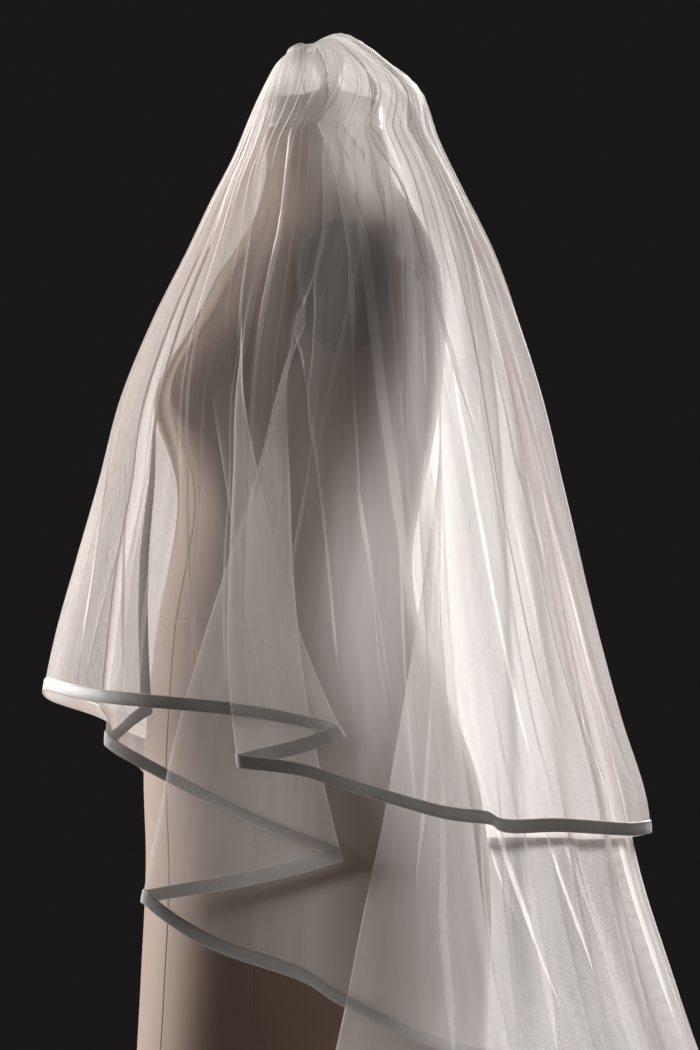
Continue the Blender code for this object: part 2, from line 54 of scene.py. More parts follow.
HALF_CLOTH = 0.0005
LEVEL_SAMPLES = 800
HEM_SAMPLES = 6000
UPPER_FALL_ROWS = 52
UPPER_COLUMNS = 1040
LOWER_FALL_ROWS = 58
LOWER_COLUMNS = 1200

# Net: its cell and the slant of its threads, the share that they cover and how it varies down the cloth,
# what bunched and slanting cloth adds to it, its colour, and the share of its light that goes through
NET_CELL = 0.0014
NET_SLANT = 0.6
NET_COVER = (0.05, 0.28)
NET_STREAKS = (0.72, 0.56)
LAYER_POWER = 0.7
FULLEST = 4.0
LEAST_SLANT = 0.28
TULLE_COLOUR = (0.89, 0.845, 0.815, 1.0)
TULLE_THROUGH = 0.8

# Ribbon: the share of its light that goes through, its width, and its section as shares of the width up
# from the hem and how far each stands out. Its stitches have a pitch, a length and half a width.
SATIN_THROUGH = 0.34
RIBBON_WIDTH = 0.012
RIBBON_SECTION = (
    ("up", "out"),
    (1.00, 0.0008), (0.98, 0.0012), (0.90, 0.0012), (0.50, 0.0014), (0.08, 0.0013), (0.01, 0.0011),
    (-0.01, 0.0004), (0.01, -0.0003), (0.08, -0.0005), (0.50, -0.0006), (0.90, -0.0004),
    (0.98, -0.0004), (1.00, -0.0001),
)
STITCH_PITCH = 0.0034
STITCH_LENGTH = 0.0023
STITCH_HALF_WIDTH = 0.00032
STITCH_UP = 0.90
STITCH_OUT = 0.0013
STITCH_PROUD = 1.4

# How the folds run, as in the solids
TURN_START = 1.420
TURN_POWER = 1.05
NECK_RING = 5
LEVEL_RING = 7
LOWER_HEADING_START = 6.0
LOWER_HEADING_END = 354.0

# How each tier hangs, from the heading down: where its front, side and back lie, how high each is, the
# share of the folds' standing out that shows there, and how high the small gathers stand
UPPER_DRAPE = (
    ("name", "front", "front_z", "side", "side_z", "back", "back_z", "share", "gather"),
    ("heading", -0.0341, 1.5300, 0.0329, 1.5300, -0.0199, 1.5300, 0.00, 0.0004),
    ("rise", -0.0390, 1.5250, 0.0410, 1.5310, -0.0020, 1.5430, 0.03, 0.0012),
    ("crest", -0.0470, 1.5160, 0.0530, 1.5270, 0.0210, 1.5460, 0.06, 0.0022),
    ("cap", -0.0605, 1.4890, 0.0780, 1.5060, 0.0590, 1.5190, 0.12, 0.0034),
    ("nape", -0.0710, 1.4660, 0.1050, 1.4790, 0.0880, 1.4900, 0.18, 0.0042),
    ("neck", -0.0855, 1.4310, 0.1380, 1.4430, 0.0990, 1.4480, 0.24, 0.0046),
    ("shoulder", -0.1050, 1.3930, 0.1720, 1.4050, 0.1235, 1.3930, 0.28, 0.0046),
    ("high_chest", -0.1280, 1.3450, 0.1985, 1.3450, 0.1485, 1.3450, 0.37, 0.0044),
    ("chest", -0.1600, 1.2810, 0.2130, 1.2810, 0.1748, 1.2810, 0.50, 0.0040),
    ("bust", -0.1907, 1.2060, 0.2230, 1.2060, 0.2000, 1.2060, 0.65, 0.0036),
    ("ribs", -0.2103, 1.1310, 0.2340, 1.1310, 0.2187, 1.1310, 0.80, 0.0032),
    ("waist", -0.2318, 1.0560, 0.2450, 1.0560, 0.2374, 1.0560, 0.92, 0.0028),
    ("belly", -0.2523, 0.9815, 0.2570, 0.9815, 0.2561, 0.9815, 1.00, 0.0024),
    ("hip", -0.2660, 0.9070, 0.2730, 0.9070, 0.2766, 0.9070, 1.00, 0.0020),
    ("low_hip", -0.2720, 0.8320, 0.2870, 0.8320, 0.3000, 0.8320, 1.00, 0.0016),
    ("end", -0.2760, 0.7600, 0.2920, 0.7600, 0.3050, 0.7600, 1.00, 0.0014),
)
LOWER_DRAPE = (
    ("name", "front", "front_z", "side", "side_z", "back", "back_z", "share", "gather"),
    ("heading", -0.0341, 1.5245, 0.0329, 1.5245, -0.0199, 1.5245, 0.00, 0.0002),
    ("rise", -0.0380, 1.5185, 0.0400, 1.5205, -0.0030, 1.5350, 0.02, 0.0004),
    ("crest", -0.0440, 1.5100, 0.0500, 1.5160, 0.0180, 1.5380, 0.04, 0.0009),
    ("cap", -0.0575, 1.4880, 0.0710, 1.4970, 0.0540, 1.5110, 0.08, 0.0014),
    ("nape", -0.0660, 1.4650, 0.0960, 1.4710, 0.0810, 1.4790, 0.12, 0.0020),
    ("neck", -0.0780, 1.4310, 0.1290, 1.4350, 0.0940, 1.4400, 0.17, 0.0026),
    ("shoulder", -0.0970, 1.3930, 0.1640, 1.3970, 0.1160, 1.3880, 0.22, 0.0030),
    ("high_chest", -0.1200, 1.3450, 0.1870, 1.3450, 0.1400, 1.3450, 0.29, 0.0032),
    ("chest", -0.1510, 1.2810, 0.1985, 1.2810, 0.1640, 1.2810, 0.43, 0.0034),
    ("bust", -0.1800, 1.2060, 0.2050, 1.2060, 0.1870, 1.2060, 0.56, 0.0034),
    ("ribs", -0.1955, 1.1310, 0.2125, 1.1310, 0.2040, 1.1310, 0.70, 0.0034),
    ("waist", -0.2145, 1.0560, 0.2220, 1.0560, 0.2215, 1.0560, 0.84, 0.0032),
    ("belly", -0.2290, 0.9815, 0.2320, 0.9815, 0.2390, 0.9815, 0.95, 0.0030),
    ("hip", -0.2400, 0.9070, 0.2460, 0.9070, 0.2580, 0.9070, 1.00, 0.0028),
    ("low_hip", -0.2420, 0.8320, 0.2580, 0.8320, 0.2760, 0.8320, 1.00, 0.0028),
    ("thigh", -0.2420, 0.7570, 0.2660, 0.7570, 0.2935, 0.7570, 1.00, 0.0028),
    ("mid_thigh", -0.2400, 0.6820, 0.2720, 0.6820, 0.3187, 0.6820, 1.00, 0.0026),
    ("low_thigh", -0.2400, 0.6080, 0.2780, 0.6080, 0.3458, 0.6080, 1.00, 0.0024),
    ("knee", -0.2400, 0.5400, 0.2830, 0.5400, 0.3720, 0.5400, 1.00, 0.0022),
    ("calf", -0.2400, 0.4700, 0.2850, 0.4700, 0.3980, 0.4700, 1.00, 0.0020),
    ("end", -0.2400, 0.3900, 0.2850, 0.3900, 0.4200, 0.3900, 1.00, 0.0018),
)

# Folds of the upper tier, all round from the front centre by way of the form's left side: the turn in
# degrees at the neck and at the hem, how far it stands out there, and its height
UPPER_FOLDS = (
    ("name", "neck", "hem", "out", "height"),
    ("front_corner", 3, 4, 0.000, 0.938),
    ("front_left", 14, 31, -0.001, 0.934),
    ("chest_left", 23, 53, -0.006, 0.931),
    ("under_pleat", 28, 66, -0.012, 0.927),
    ("under_pleat_end", 31, 76, -0.016, 0.920),
    ("inner_turn", 34, 82.5, -0.019, 0.914),
    ("inner_turn_out", 38, 82.5, -0.010, 0.910),
    ("pleat_middle", 43, 75, -0.006, 0.898),
    ("outer_turn", 48, 65, -0.002, 0.886),
    ("outer_turn_out", 53, 65, 0.007, 0.883),
    ("pleat_face", 60, 75, 0.007, 0.877),
    ("side", 73, 85, 0.006, 0.861),
    ("side_back", 88, 98, 0.004, 0.841),
    ("small_turn", 97, 108, -0.010, 0.835),
    ("small_turn_out", 103, 110, 0.003, 0.827),
    ("back_left_face", 115, 122, 0.002, 0.824),
    ("back_left", 138, 146, -0.005, 0.811),
    ("back_corner", 164, 168, 0.000, 0.802),
    ("back_return", 186, 189, -0.003, 0.786),
    ("back_hollow", 199, 201, -0.014, 0.780),
    ("back_right_turn", 211, 210, 0.002, 0.776),
    ("back_right", 229, 229, 0.001, 0.770),
    ("right_hollow", 240, 239, -0.015, 0.772),
    ("right_crest", 252, 250, -0.001, 0.774),
    ("right_side", 263, 262, 0.001, 0.790),
    ("right_inner", 273, 270, -0.016, 0.806),
    ("right_outer", 283, 278, 0.000, 0.818),
    ("right_front", 294, 290, -0.006, 0.846),
    ("right_front_in", 304, 299, -0.015, 0.864),
    ("right_front_out", 314, 307, -0.002, 0.880),
    ("front_right", 328, 322, -0.010, 0.904),
    ("front_right_corner", 347, 343, -0.003, 0.923),
)

# Folds of the lower tier, from its free edge at the front left, round the back, to the front right
LOWER_FOLDS = (
    ("name", "neck", "hem", "out", "height"),
    ("left_edge", 5, 36, -0.018, 0.926),
    ("left_edge_bend", 11, 31, -0.015, 0.914),
    ("first_turn", 18, 26, -0.010, 0.897),
    ("first_turn_out", 24, 26.5, -0.002, 0.892),
    ("first_face", 34, 42, -0.014, 0.866),
    ("first_under", 45, 62, -0.031, 0.830),
    ("first_inner", 56, 77.5, -0.041, 0.806),
    ("first_inner_out", 61, 77.5, -0.031, 0.801),
    ("second_back", 69, 60, -0.020, 0.781),
    ("second_turn", 77, 39, -0.006, 0.762),
    ("second_turn_out", 82, 39, 0.002, 0.758),
    ("second_face", 88, 52, -0.002, 0.727),
    ("second_step", 94, 68, -0.011, 0.703),
    ("second_under", 99, 75, -0.016, 0.682),
    ("second_middle", 104, 88, -0.021, 0.651),
    ("second_inner", 110, 104, -0.023, 0.627),
    ("second_inner_out", 115, 104, -0.013, 0.622),
    ("third_back", 121, 88, -0.008, 0.612),
    ("third_turn", 127, 72, -0.003, 0.602),
    ("third_turn_out", 133, 72, 0.005, 0.598),
    ("third_face", 138, 86, 0.003, 0.574),
    ("side_face", 142, 98, 0.001, 0.549),
    ("side_hollow", 146, 106, -0.012, 0.538),
    ("side_crest", 150, 112, 0.000, 0.530),
    ("back_left_face", 155, 124, -0.006, 0.506),
    ("back_left_crest", 160, 136, 0.000, 0.486),
    ("back_left_hollow", 165, 147, -0.016, 0.480),
    ("back_left_fold", 170, 157, -0.002, 0.462),
    ("back_crest", 177, 172, 0.001, 0.440),
    ("back_crest_end", 184, 187, 0.000, 0.424),
    ("back_hollow", 193, 198, -0.016, 0.418),
    ("back_right_fold", 201, 208, -0.001, 0.410),
    ("back_right_crest", 209, 220, -0.003, 0.404),
    ("right_hollow", 216, 230, -0.016, 0.410),
    ("right_crest", 223, 240, -0.003, 0.424),
    ("right_side", 228, 250, -0.006, 0.436),
    ("right_face", 234, 264, -0.003, 0.458),
    ("third_turn_right", 239, 280, 0.002, 0.492),
    ("third_turn_right_in", 243, 280, -0.006, 0.500),
    ("third_back_right", 250, 269, -0.011, 0.524),
    ("second_inner_right", 257, 256, -0.017, 0.550),
    ("second_inner_right_in", 262, 256, -0.027, 0.556),
    ("second_middle_right", 267, 268, -0.025, 0.588),
    ("second_face_right", 272, 286, -0.018, 0.634),
    ("second_turn_right", 277, 306, -0.008, 0.670),
    ("second_turn_right_in", 282, 306, -0.016, 0.676),
    ("second_back_right", 289, 294, -0.024, 0.704),
    ("first_inner_right", 296, 282, -0.032, 0.738),
    ("first_inner_right_in", 301, 282, -0.042, 0.744),
    ("first_under_right", 310, 298, -0.036, 0.782),
    ("first_face_right", 322, 312, -0.026, 0.834),
    ("first_turn_right", 334, 323, -0.015, 0.876),
    ("right_edge_bend", 344, 329, -0.017, 0.902),
    ("right_edge", 353, 335, -0.018, 0.916),
)

# Creases listed one by one for the side that shows most, in rows of the drape and metres along the hem: where
# each starts, passes its middle and ends, half its width, its height as a share of the gathers', and how
# far the cloth folds over itself there, with its sign for the side of the crease that stands higher. Their
# likes are laid on the other side.
UPPER_CREASES = (
    ("name", "top", "top_at", "middle_at", "low", "low_at", "width", "height", "fold"),
    ("knot_to_shoulder", 0.8, 0.400, 0.562, 8.8, 0.620, 0.0085, 1.0, 2.8),
    ("neck_front", 1.0, 0.330, 0.468, 7.9, 0.476, 0.0065, 0.8, 2.4),
    ("chest_line", 1.4, 0.250, 0.352, 9.2, 0.357, 0.0095, 1.0, 2.8),
    ("throat", 0.8, 0.190, 0.255, 7.0, 0.250, 0.0060, 0.7, 2.2),
    ("collar", 1.0, 0.110, 0.175, 7.6, 0.185, 0.0075, 0.9, 2.6),
    ("arm_strip", 4.6, 0.590, 0.646, 11.8, 0.657, 0.0090, 1.0, 3.4),
    ("back_sweep", 1.2, 0.640, 0.712, 10.2, 0.790, 0.0085, 1.0, 2.6),
    ("shoulder_sweep", 3.6, 0.535, 0.668, 8.8, 0.748, 0.0075, 0.9, 2.4),
    ("blade_front", 6.8, 0.729, 0.722, 10.2, 0.713, 0.0065, 0.8, 2.4),
    ("blade_back", 6.6, 0.727, 0.743, 9.8, 0.746, 0.0070, 0.8, -2.4),
    ("crossing", 6.4, 0.576, 0.541, 11.1, 0.464, 0.0075, 0.9, -2.2),
    ("inner_line", 6.9, 0.528, 0.573, 13.4, 0.575, 0.0065, 0.8, 1.9),
    ("hip_left", 9.6, 0.604, 0.627, 14.0, 0.614, 0.0110, 1.1, 1.5),
    ("hip_right", 9.6, 0.654, 0.657, 14.0, 0.630, 0.0110, 1.1, -1.5),
    ("bright_strip", 9.0, 0.718, 0.689, 14.6, 0.648, 0.0100, 1.2, 4.2),
    ("back_soft", 8.4, 0.802, 0.790, 14.6, 0.776, 0.0130, 1.3, 1.4),
    ("wedge", 12.0, 0.745, 0.738, 14.6, 0.730, 0.0080, 1.0, 2.8),
    ("back_strip", 6.6, 0.884, 0.929, 14.6, 0.956, 0.0095, 1.2, 3.2),
    ("back_thin", 9.2, 0.842, 0.868, 14.6, 0.840, 0.0085, 1.0, 2.4),
    ("back_thin_out", 9.8, 0.903, 0.921, 14.6, 0.895, 0.0075, 0.9, -2.2),
    ("crown_back", 0.6, 0.700, 0.800, 6.8, 0.852, 0.0080, 1.0, 2.6),
    ("crown_edge", 0.6, 0.830, 0.905, 7.4, 0.915, 0.0090, 1.2, -3.0),
    ("nape", 2.0, 0.930, 0.985, 9.0, 0.990, 0.0090, 1.1, 2.6),
    ("bust_strip", 8.8, 0.070, 0.145, 13.2, 0.156, 0.0090, 1.0, 2.6),
    ("bust_soft", 9.6, 0.206, 0.187, 13.4, 0.172, 0.0100, 1.1, -1.8),
    ("front_soft", 8.6, 0.300, 0.312, 13.4, 0.290, 0.0120, 1.2, 1.3),
)
LOWER_CREASES = (
    ("name", "top", "top_at", "middle_at", "low", "low_at", "width", "height", "fold"),
    ("bright_line", 12.2, 1.094, 1.139, 17.6, 1.182, 0.0085, 1.0, 3.4),
    ("panel_front", 12.8, 1.162, 1.198, 17.6, 1.252, 0.0120, 1.2, 1.8),
    ("panel_left", 12.8, 1.188, 1.229, 17.6, 1.245, 0.0100, 1.0, 2.8),
    ("panel_right", 12.8, 1.246, 1.278, 17.6, 1.290, 0.0100, 1.0, -2.4),
    ("soft_back", 12.8, 1.268, 1.313, 17.6, 1.348, 0.0120, 1.2, 1.6),
    ("soft_back_out", 12.8, 1.306, 1.354, 17.6, 1.374, 0.0110, 1.1, 2.2),
    ("edge_line", 11.6, 1.442, 1.437, 17.8, 1.427, 0.0095, 1.2, 3.4),
    ("back_fall", 10.0, 1.540, 1.560, 17.6, 1.575, 0.0130, 1.2, 2.0),
    ("hip_fall", 8.0, 0.900, 0.955, 15.6, 0.990, 0.0110, 1.0, 2.2),
    ("thigh_fall", 9.0, 0.770, 0.800, 15.0, 0.800, 0.0100, 1.0, -2.0),
    ("inner_fall", 8.0, 0.560, 0.600, 13.8, 0.610, 0.0100, 1.0, 2.2),
    ("left_fall", 8.0, 0.150, 0.170, 12.8, 0.170, 0.0090, 0.9, 2.0),
)
CREASE_FADE = 1.8
HEM_FADE = 0.22

DRAPE_KEYS = ("front", "front_z", "side", "side_z", "back", "back_z", "share", "gather")
SIDE_Z, SHARE, GATHER = (DRAPE_KEYS.index(key) for key in ("side_z", "share", "gather"))
STOP_KEYS = ("heading", "neck", "hem", "out", "height")
HEM_HEIGHT = STOP_KEYS.index("height")
CREASE_KEYS = ("top", "top_at", "middle_at", "low", "low_at", "width", "height", "fold")
TOP, TOP_AT, MIDDLE_AT, LOW_AT, WIDTH, FOLD = 0, 1, 2, 4, 5, 7

# A crease stands higher on one side, and all are lower at the crown: a share, and how much is added to it
CREASE_LEAN = (0.6, -0.4)
CREASE_LEAN_SHARPNESS = 2.0
CROWN_GATHER = (0.45, 0.55)

# Small gathers scattered along a tier: a pair is the least value and the most that is added to it
SCATTER_START = 0.8
SCATTER_DRIFT = 0.03
SCATTER_DRIFT_MIDDLE = 0.6
SCATTER_TOP = 1.5
SCATTER_LOW = (4.5, 11.0)
SCATTER_LOW_POWER = 1.4
SCATTER_WIDTH = (0.0028, 0.0058)
SCATTER_HEIGHT = (0.25, 0.75)
SCATTER_FOLD = (0.6, 2.6)

# How the likes of the listed creases differ from them on the other side
MIRROR_PLACE = (0.96, 0.05)
MIRROR_TOP = 0.8
MIRROR_WIDTH = (0.85, 0.4)
MIRROR_SAME_WAY = 0.4
MIRROR_FOLDS = (0.8, -0.9)

# The form and what closes and carries it, as in the solids
FORM_SQUARENESS = 2.3
BUST_APART = 0.075
BUST_HEIGHT = 1.205
BUST_REACH = 0.030
BUST_SPREAD_WIDE = 0.056
BUST_SPREAD_HIGH = 0.062
BUST_MOST = 1.2
ARM_PLANE = 0.152
ARM_PLANE_LOW = 1.200
ARM_PLATE_HALF_WIDTH = 0.041
ARM_PLATE_HALF_HEIGHT = 0.060
ARM_PLATE_BACK = -0.009
ARM_PLATE_HEIGHT = 1.300
FORM_SECTIONS = (
    ("name", "height", "half_width", "front", "back"),
    ("lower_edge", 0.560, 0.165, -0.176, 0.146),
    ("thigh", 0.660, 0.170, -0.171, 0.151),
    ("hip", 0.770, 0.174, -0.166, 0.151),
    ("high_hip", 0.860, 0.168, -0.168, 0.138),
    ("belly", 0.930, 0.150, -0.163, 0.112),
    ("waist", 1.000, 0.128, -0.155, 0.086),
    ("above_waist", 1.060, 0.127, -0.143, 0.079),
    ("ribs", 1.115, 0.138, -0.134, 0.087),
    ("under_bust", 1.160, 0.149, -0.132, 0.096),
    ("bust", 1.205, 0.158, -0.132, 0.103),
    ("over_bust", 1.245, 0.166, -0.126, 0.107),
    ("chest", 1.290, 0.167, -0.112, 0.106),
    ("high_chest", 1.325, 0.166, -0.097, 0.101),
    ("shoulder", 1.350, 0.158, -0.080, 0.092),
    ("shoulder_top", 1.370, 0.138, -0.068, 0.083),
    ("shoulder_slope", 1.387, 0.110, -0.060, 0.074),
    ("neck_root", 1.402, 0.080, -0.056, 0.066),
    ("neck_base", 1.420, 0.062, -0.054, 0.059),
    ("neck", 1.4567, 0.0545, -0.055, 0.053),
)
SEAM_DEPTH = 0.0006
SEAM_HALF_WIDTH = 0.0009
SEAM_TURNS = (23.0, 63.0, 118.0, 156.0, 180.0, 204.0, 242.0, 297.0, 337.0)
WAIST_SEAM = 1.003
NECK_SEAM = 1.397
NECK_SEAM_SLOPE = 0.12
SEAM_NEAR = np.array((-0.9, -0.55, -0.3, -0.12, 0.0, 0.12, 0.3, 0.55, 0.9))
WAIST_SEAM_REACH = 0.004
NECK_SEAM_REACH = 0.014
NECK_SEAM_ROWS = 40
FORM_ROWS = 110
TURN_STEP = 3.0

# Profiles turned about an upright line: height and radius
NECK_CAP_PROFILE = (
    (1.4570, 0.0), (1.4570, 0.0530), (1.4578, 0.0546), (1.4590, 0.0550), (1.4640, 0.0550), (1.4646, 0.0545),
    (1.4652, 0.0550), (1.4805, 0.0550), (1.4828, 0.0543), (1.4843, 0.0526), (1.4850, 0.0500), (1.4850, 0.0),
)
BASE_PROFILE = (
    (0.0, 0.0), (0.0, 0.1735), (0.0012, 0.1750), (0.0075, 0.1750), (0.0095, 0.1738), (0.0128, 0.1692),
    (0.0160, 0.1200), (0.0185, 0.0600), (0.0198, 0.0330), (0.0200, 0.0300), (0.0200, 0.0),
)
POLE_PROFILE = (
    (0.0203, 0.0), (0.0203, 0.0250), (0.0212, 0.0258), (0.0300, 0.0258), (0.0330, 0.0240), (0.0345, 0.0180),
    (0.0355, 0.0160), (0.2990, 0.0160), (0.2995, 0.0157), (0.3005, 0.0157), (0.3010, 0.0160),
    (0.5597, 0.0160), (0.5597, 0.0),
)
# The finial's, as shares of its height and radii
FINIAL_RISE = (
    (0.00, 0.0), (0.00, 0.0255), (0.02, 0.0260), (0.10, 0.0260), (0.13, 0.0250), (0.17, 0.0170),
    (0.22, 0.0105), (0.30, 0.0096), (0.42, 0.0098), (0.50, 0.0110), (0.58, 0.0130), (0.68, 0.0150),
    (0.76, 0.0156), (0.84, 0.0149), (0.92, 0.0130), (0.97, 0.0112), (1.00, 0.0090), (1.00, 0.0),
)
TURNED_SIDES = 96
POINTED_RADIUS = 0.0002

# The arm plate's section from its rim inwards: share of its half sizes, and how far it stands out
ARM_PLATE_SECTION = (
    (1.000, 0.0000), (1.000, 0.0022), (0.992, 0.0034), (0.975, 0.0043), (0.955, 0.0047), (0.930, 0.0047),
    (0.915, 0.0040), (0.900, 0.0038), (0.885, 0.0043), (0.80, 0.0050), (0.60, 0.0057), (0.35, 0.0061),
    (0.12, 0.0063), (0.01, 0.0063),
)
ARM_PLATE_GAP = 0.0003

# The heading's section from its top down: share of its height, how far it stands out of the solid bar, and
# the share of the puckers' depth that shows there
HEADING_SECTION = (
    (1.02, -0.0045, 0.2), (1.02, -0.0020, 0.8), (0.96, 0.0002, 1.0), (0.86, 0.0010, 1.0),
    (0.72, 0.0008, 0.9), (0.60, 0.0001, 0.5), (0.52, -0.0005, 0.3), (0.44, 0.0001, 0.5),
    (0.30, 0.0008, 0.9), (0.14, 0.0010, 1.0), (0.03, 0.0002, 0.9), (0.00, -0.0020, 0.5),
)
HEADING_SIDES = 360
PUCKERS = 46
PUCKER_OUT = 0.0011
PUCKER_UP = 0.0004

# Width of the flat map on pieces whose finish doesn't use it
HEADING_MAP = 0.15
FORM_MAP = 0.9
SMALL_MAP = 0.3


class Wire:
    """A value in a material's wiring. Sums of wires add the Math nodes that they need."""

    def __init__(self, finish, socket):
        self.finish = finish
        self.socket = socket

    def math(self, operation, *values):
        made = self.finish.node("ShaderNodeMath", {"operation": operation}, dict(enumerate(values)))
        return Wire(self.finish, made.outputs[0])

    def __add__(self, other):
        return self.math("ADD", self, other)

    def __radd__(self, other):
        return self.math("ADD", other, self)

    def __sub__(self, other):
        return self.math("SUBTRACT", self, other)

    def __rsub__(self, other):
        return self.math("SUBTRACT", other, self)

    def __mul__(self, other):
        return self.math("MULTIPLY", self, other)

    def __rmul__(self, other):
        return self.math("MULTIPLY", other, self)

    def __truediv__(self, other):
        return self.math("DIVIDE", self, other)

    def __rtruediv__(self, other):
        return self.math("DIVIDE", other, self)

    def __pow__(self, other):
        return self.math("POWER", self, other)

    def at_least(self, other):
        return self.math("MAXIMUM", self, other)

    def waves(self):
        """Smooth waves from 0 to 1 as the value runs through whole numbers."""
        return 0.5 + 0.5 * self.math("COSINE", self * math.tau)


class Finish:
    """One material, made node by node."""

    def __init__(self, name):
        self.material = bpy.data.materials.new(name)
        self.material.use_nodes = True
        self.tree = self.material.node_tree
        self.tree.nodes.clear()

    def node(self, kind, settings=None, sockets=None):
        made = self.tree.nodes.new(kind)
        for name, value in (settings or {}).items():
            setattr(made, name, value)
        for name, value in (sockets or {}).items():
            if isinstance(value, Wire):
                self.tree.links.new(value.socket, made.inputs[name])
            else:
                made.inputs[name].default_value = value
        return made

    def wire(self, made, output=0):
        return Wire(self, made.outputs[output])

    def flat(self):
        """Metres across and down the cloth, as it was cut."""
        spread = self.node("ShaderNodeUVMap", {"uv_map": "flat"})
        split = self.node("ShaderNodeSeparateXYZ", None, {0: self.wire(spread)})
        return self.wire(split, 0), self.wire(split, 1)

    def noise(self, across, down, depth=0.0, detail=2.0):
        """Uneven values round 0.5 over three lengths that are given in cells."""
        place = self.node("ShaderNodeCombineXYZ", None, {0: across, 1: down, 2: depth})
        made = self.node("ShaderNodeTexNoise", None, {
            "Vector": self.wire(place), "Scale": 1.0, "Detail": detail, "Roughness": 0.55,
        })
        return self.wire(made)

    def place(self):
        """Metres along the three axes of the part."""
        spot = self.node("ShaderNodeTexCoord")
        split = self.node("ShaderNodeSeparateXYZ", None, {0: self.wire(spot, 3)})
        return self.wire(split, 0), self.wire(split, 1), self.wire(split, 2)

    def mix(self, factor, first, second):
        sockets = {0: factor, 6: (*first, 1.0), 7: (*second, 1.0)}
        return self.wire(self.node("ShaderNodeMix", {"data_type": "RGBA"}, sockets), 2)

    def bump(self, height, distance, strength=1.0):
        sockets = {"Strength": strength, "Distance": distance, "Height": height}
        return self.wire(self.node("ShaderNodeBump", None, sockets))

    def surface(self, sockets):
        return self.node("ShaderNodeBsdfPrincipled", None, sockets)

    def share(self, factor, first, second):
        """The first shader and, by the factor, the second."""
        sockets = {0: factor, 1: self.wire(first), 2: self.wire(second)}
        return self.node("ShaderNodeMixShader", None, sockets)

    def end(self, shader):
        self.node("ShaderNodeOutputMaterial", None, {"Surface": self.wire(shader)})
        return self.material


def table(rows):
    """Rows of a table as dictionaries named by its first row."""
    return [dict(zip(rows[0], row)) for row in rows[1:]]


def columns_of(rows, keys):
    """The named columns of a table as an array, a line for each row."""
    return np.array([[row[key] for key in keys] for row in table(rows)])


def add_mesh(name, points, faces, sharp=None):
    """A smooth mesh object from points and faces, with sharp edges past an angle in degrees."""
    mesh = bpy.data.meshes.new(name)
    mesh.from_pydata([tuple(p) for p in points], [], [tuple(f) for f in faces])
    mesh.shade_smooth()
    if sharp is not None:
        mesh.set_sharp_from_angle(angle=math.radians(sharp))
    piece = bpy.data.objects.new(name, mesh)
    bpy.context.scene.collection.objects.link(piece)
    return piece


def add_grid(name, points, closed, width, ringed=False, caps=False, sharp=None):
    """A mesh from rows of points, with a flat map in metres across its width and down its rows."""
    rows, columns = points.shape[:2]
    spans = columns if closed else columns - 1
    i, j = np.meshgrid(np.arange(rows if ringed else rows - 1), np.arange(spans), indexing="ij")
    i_next, j_next = (i + 1) % rows, (j + 1) % columns
    corners = ((i, j, j), (i_next, j, j), (i_next, j_next, j + 1), (i, j_next, j + 1))
    quads = np.stack([row * columns + column for row, column, _ in corners], axis=-1).reshape(-1, 4)
    faces = [tuple(quad) for quad in quads]
    if caps:
        faces += [tuple(range(columns)), tuple(reversed(range((rows - 1) * columns, rows * columns)))]
    piece = add_mesh(name, points.reshape(-1, 3), faces, sharp)
    steps = np.linalg.norm(np.diff(points, axis=0), axis=2)
    down = np.concatenate((np.zeros((1, columns)), np.cumsum(steps, axis=0)))
    flat = np.stack([
        np.stack((place * (width / spans), down[row, column]), axis=-1) for row, column, place in corners
    ], axis=-2).reshape(-1, 2)
    flat = np.concatenate((flat, np.zeros((len(piece.data.loops) - len(flat), 2))))
    layer = piece.data.uv_layers.new(name="flat")
    layer.data.foreach_set("uv", flat.astype(np.float32).ravel())
    return piece


def spline(values, places):
    """Smooth values at places along rows of numbers, through each row."""
    rows = np.asarray(values, float)
    last = len(rows) - 1
    upper = np.clip(np.floor(places).astype(int), 0, last - 1)
    t = (np.asarray(places) - upper)[..., None] if rows.ndim > 1 else np.asarray(places) - upper
    a, b = rows[np.maximum(upper - 1, 0)], rows[upper]
    c, d = rows[upper + 1], rows[np.minimum(upper + 2, last)]
    return 0.5 * (2 * b + (c - a) * t + (2 * a - 5 * b + 4 * c - d) * t**2 + (3 * b - a - 3 * c + d) * t**3)


def points_of(x, y, z):
    """Points from their three coordinates, any of which may be one number for all."""
    return np.stack(np.broadcast_arrays(x, y, z), axis=-1)


def unit(vectors):
    """The vectors at length one."""
    return vectors / np.maximum(np.linalg.norm(vectors, axis=-1), 1e-12)[..., None]


def ranged(pair, share):
    """The first of a pair, with a share of the second added to it."""
    return pair[0] + pair[1] * share


def scattered(count, seed):
    """Numbers from 0 to 1 that look uneven and are the same each time."""
    steps = np.arange(1, count + 1)
    return np.modf(np.abs(np.sin(steps * 12.9898 + seed * 78.233)) * 43758.5453)[0]


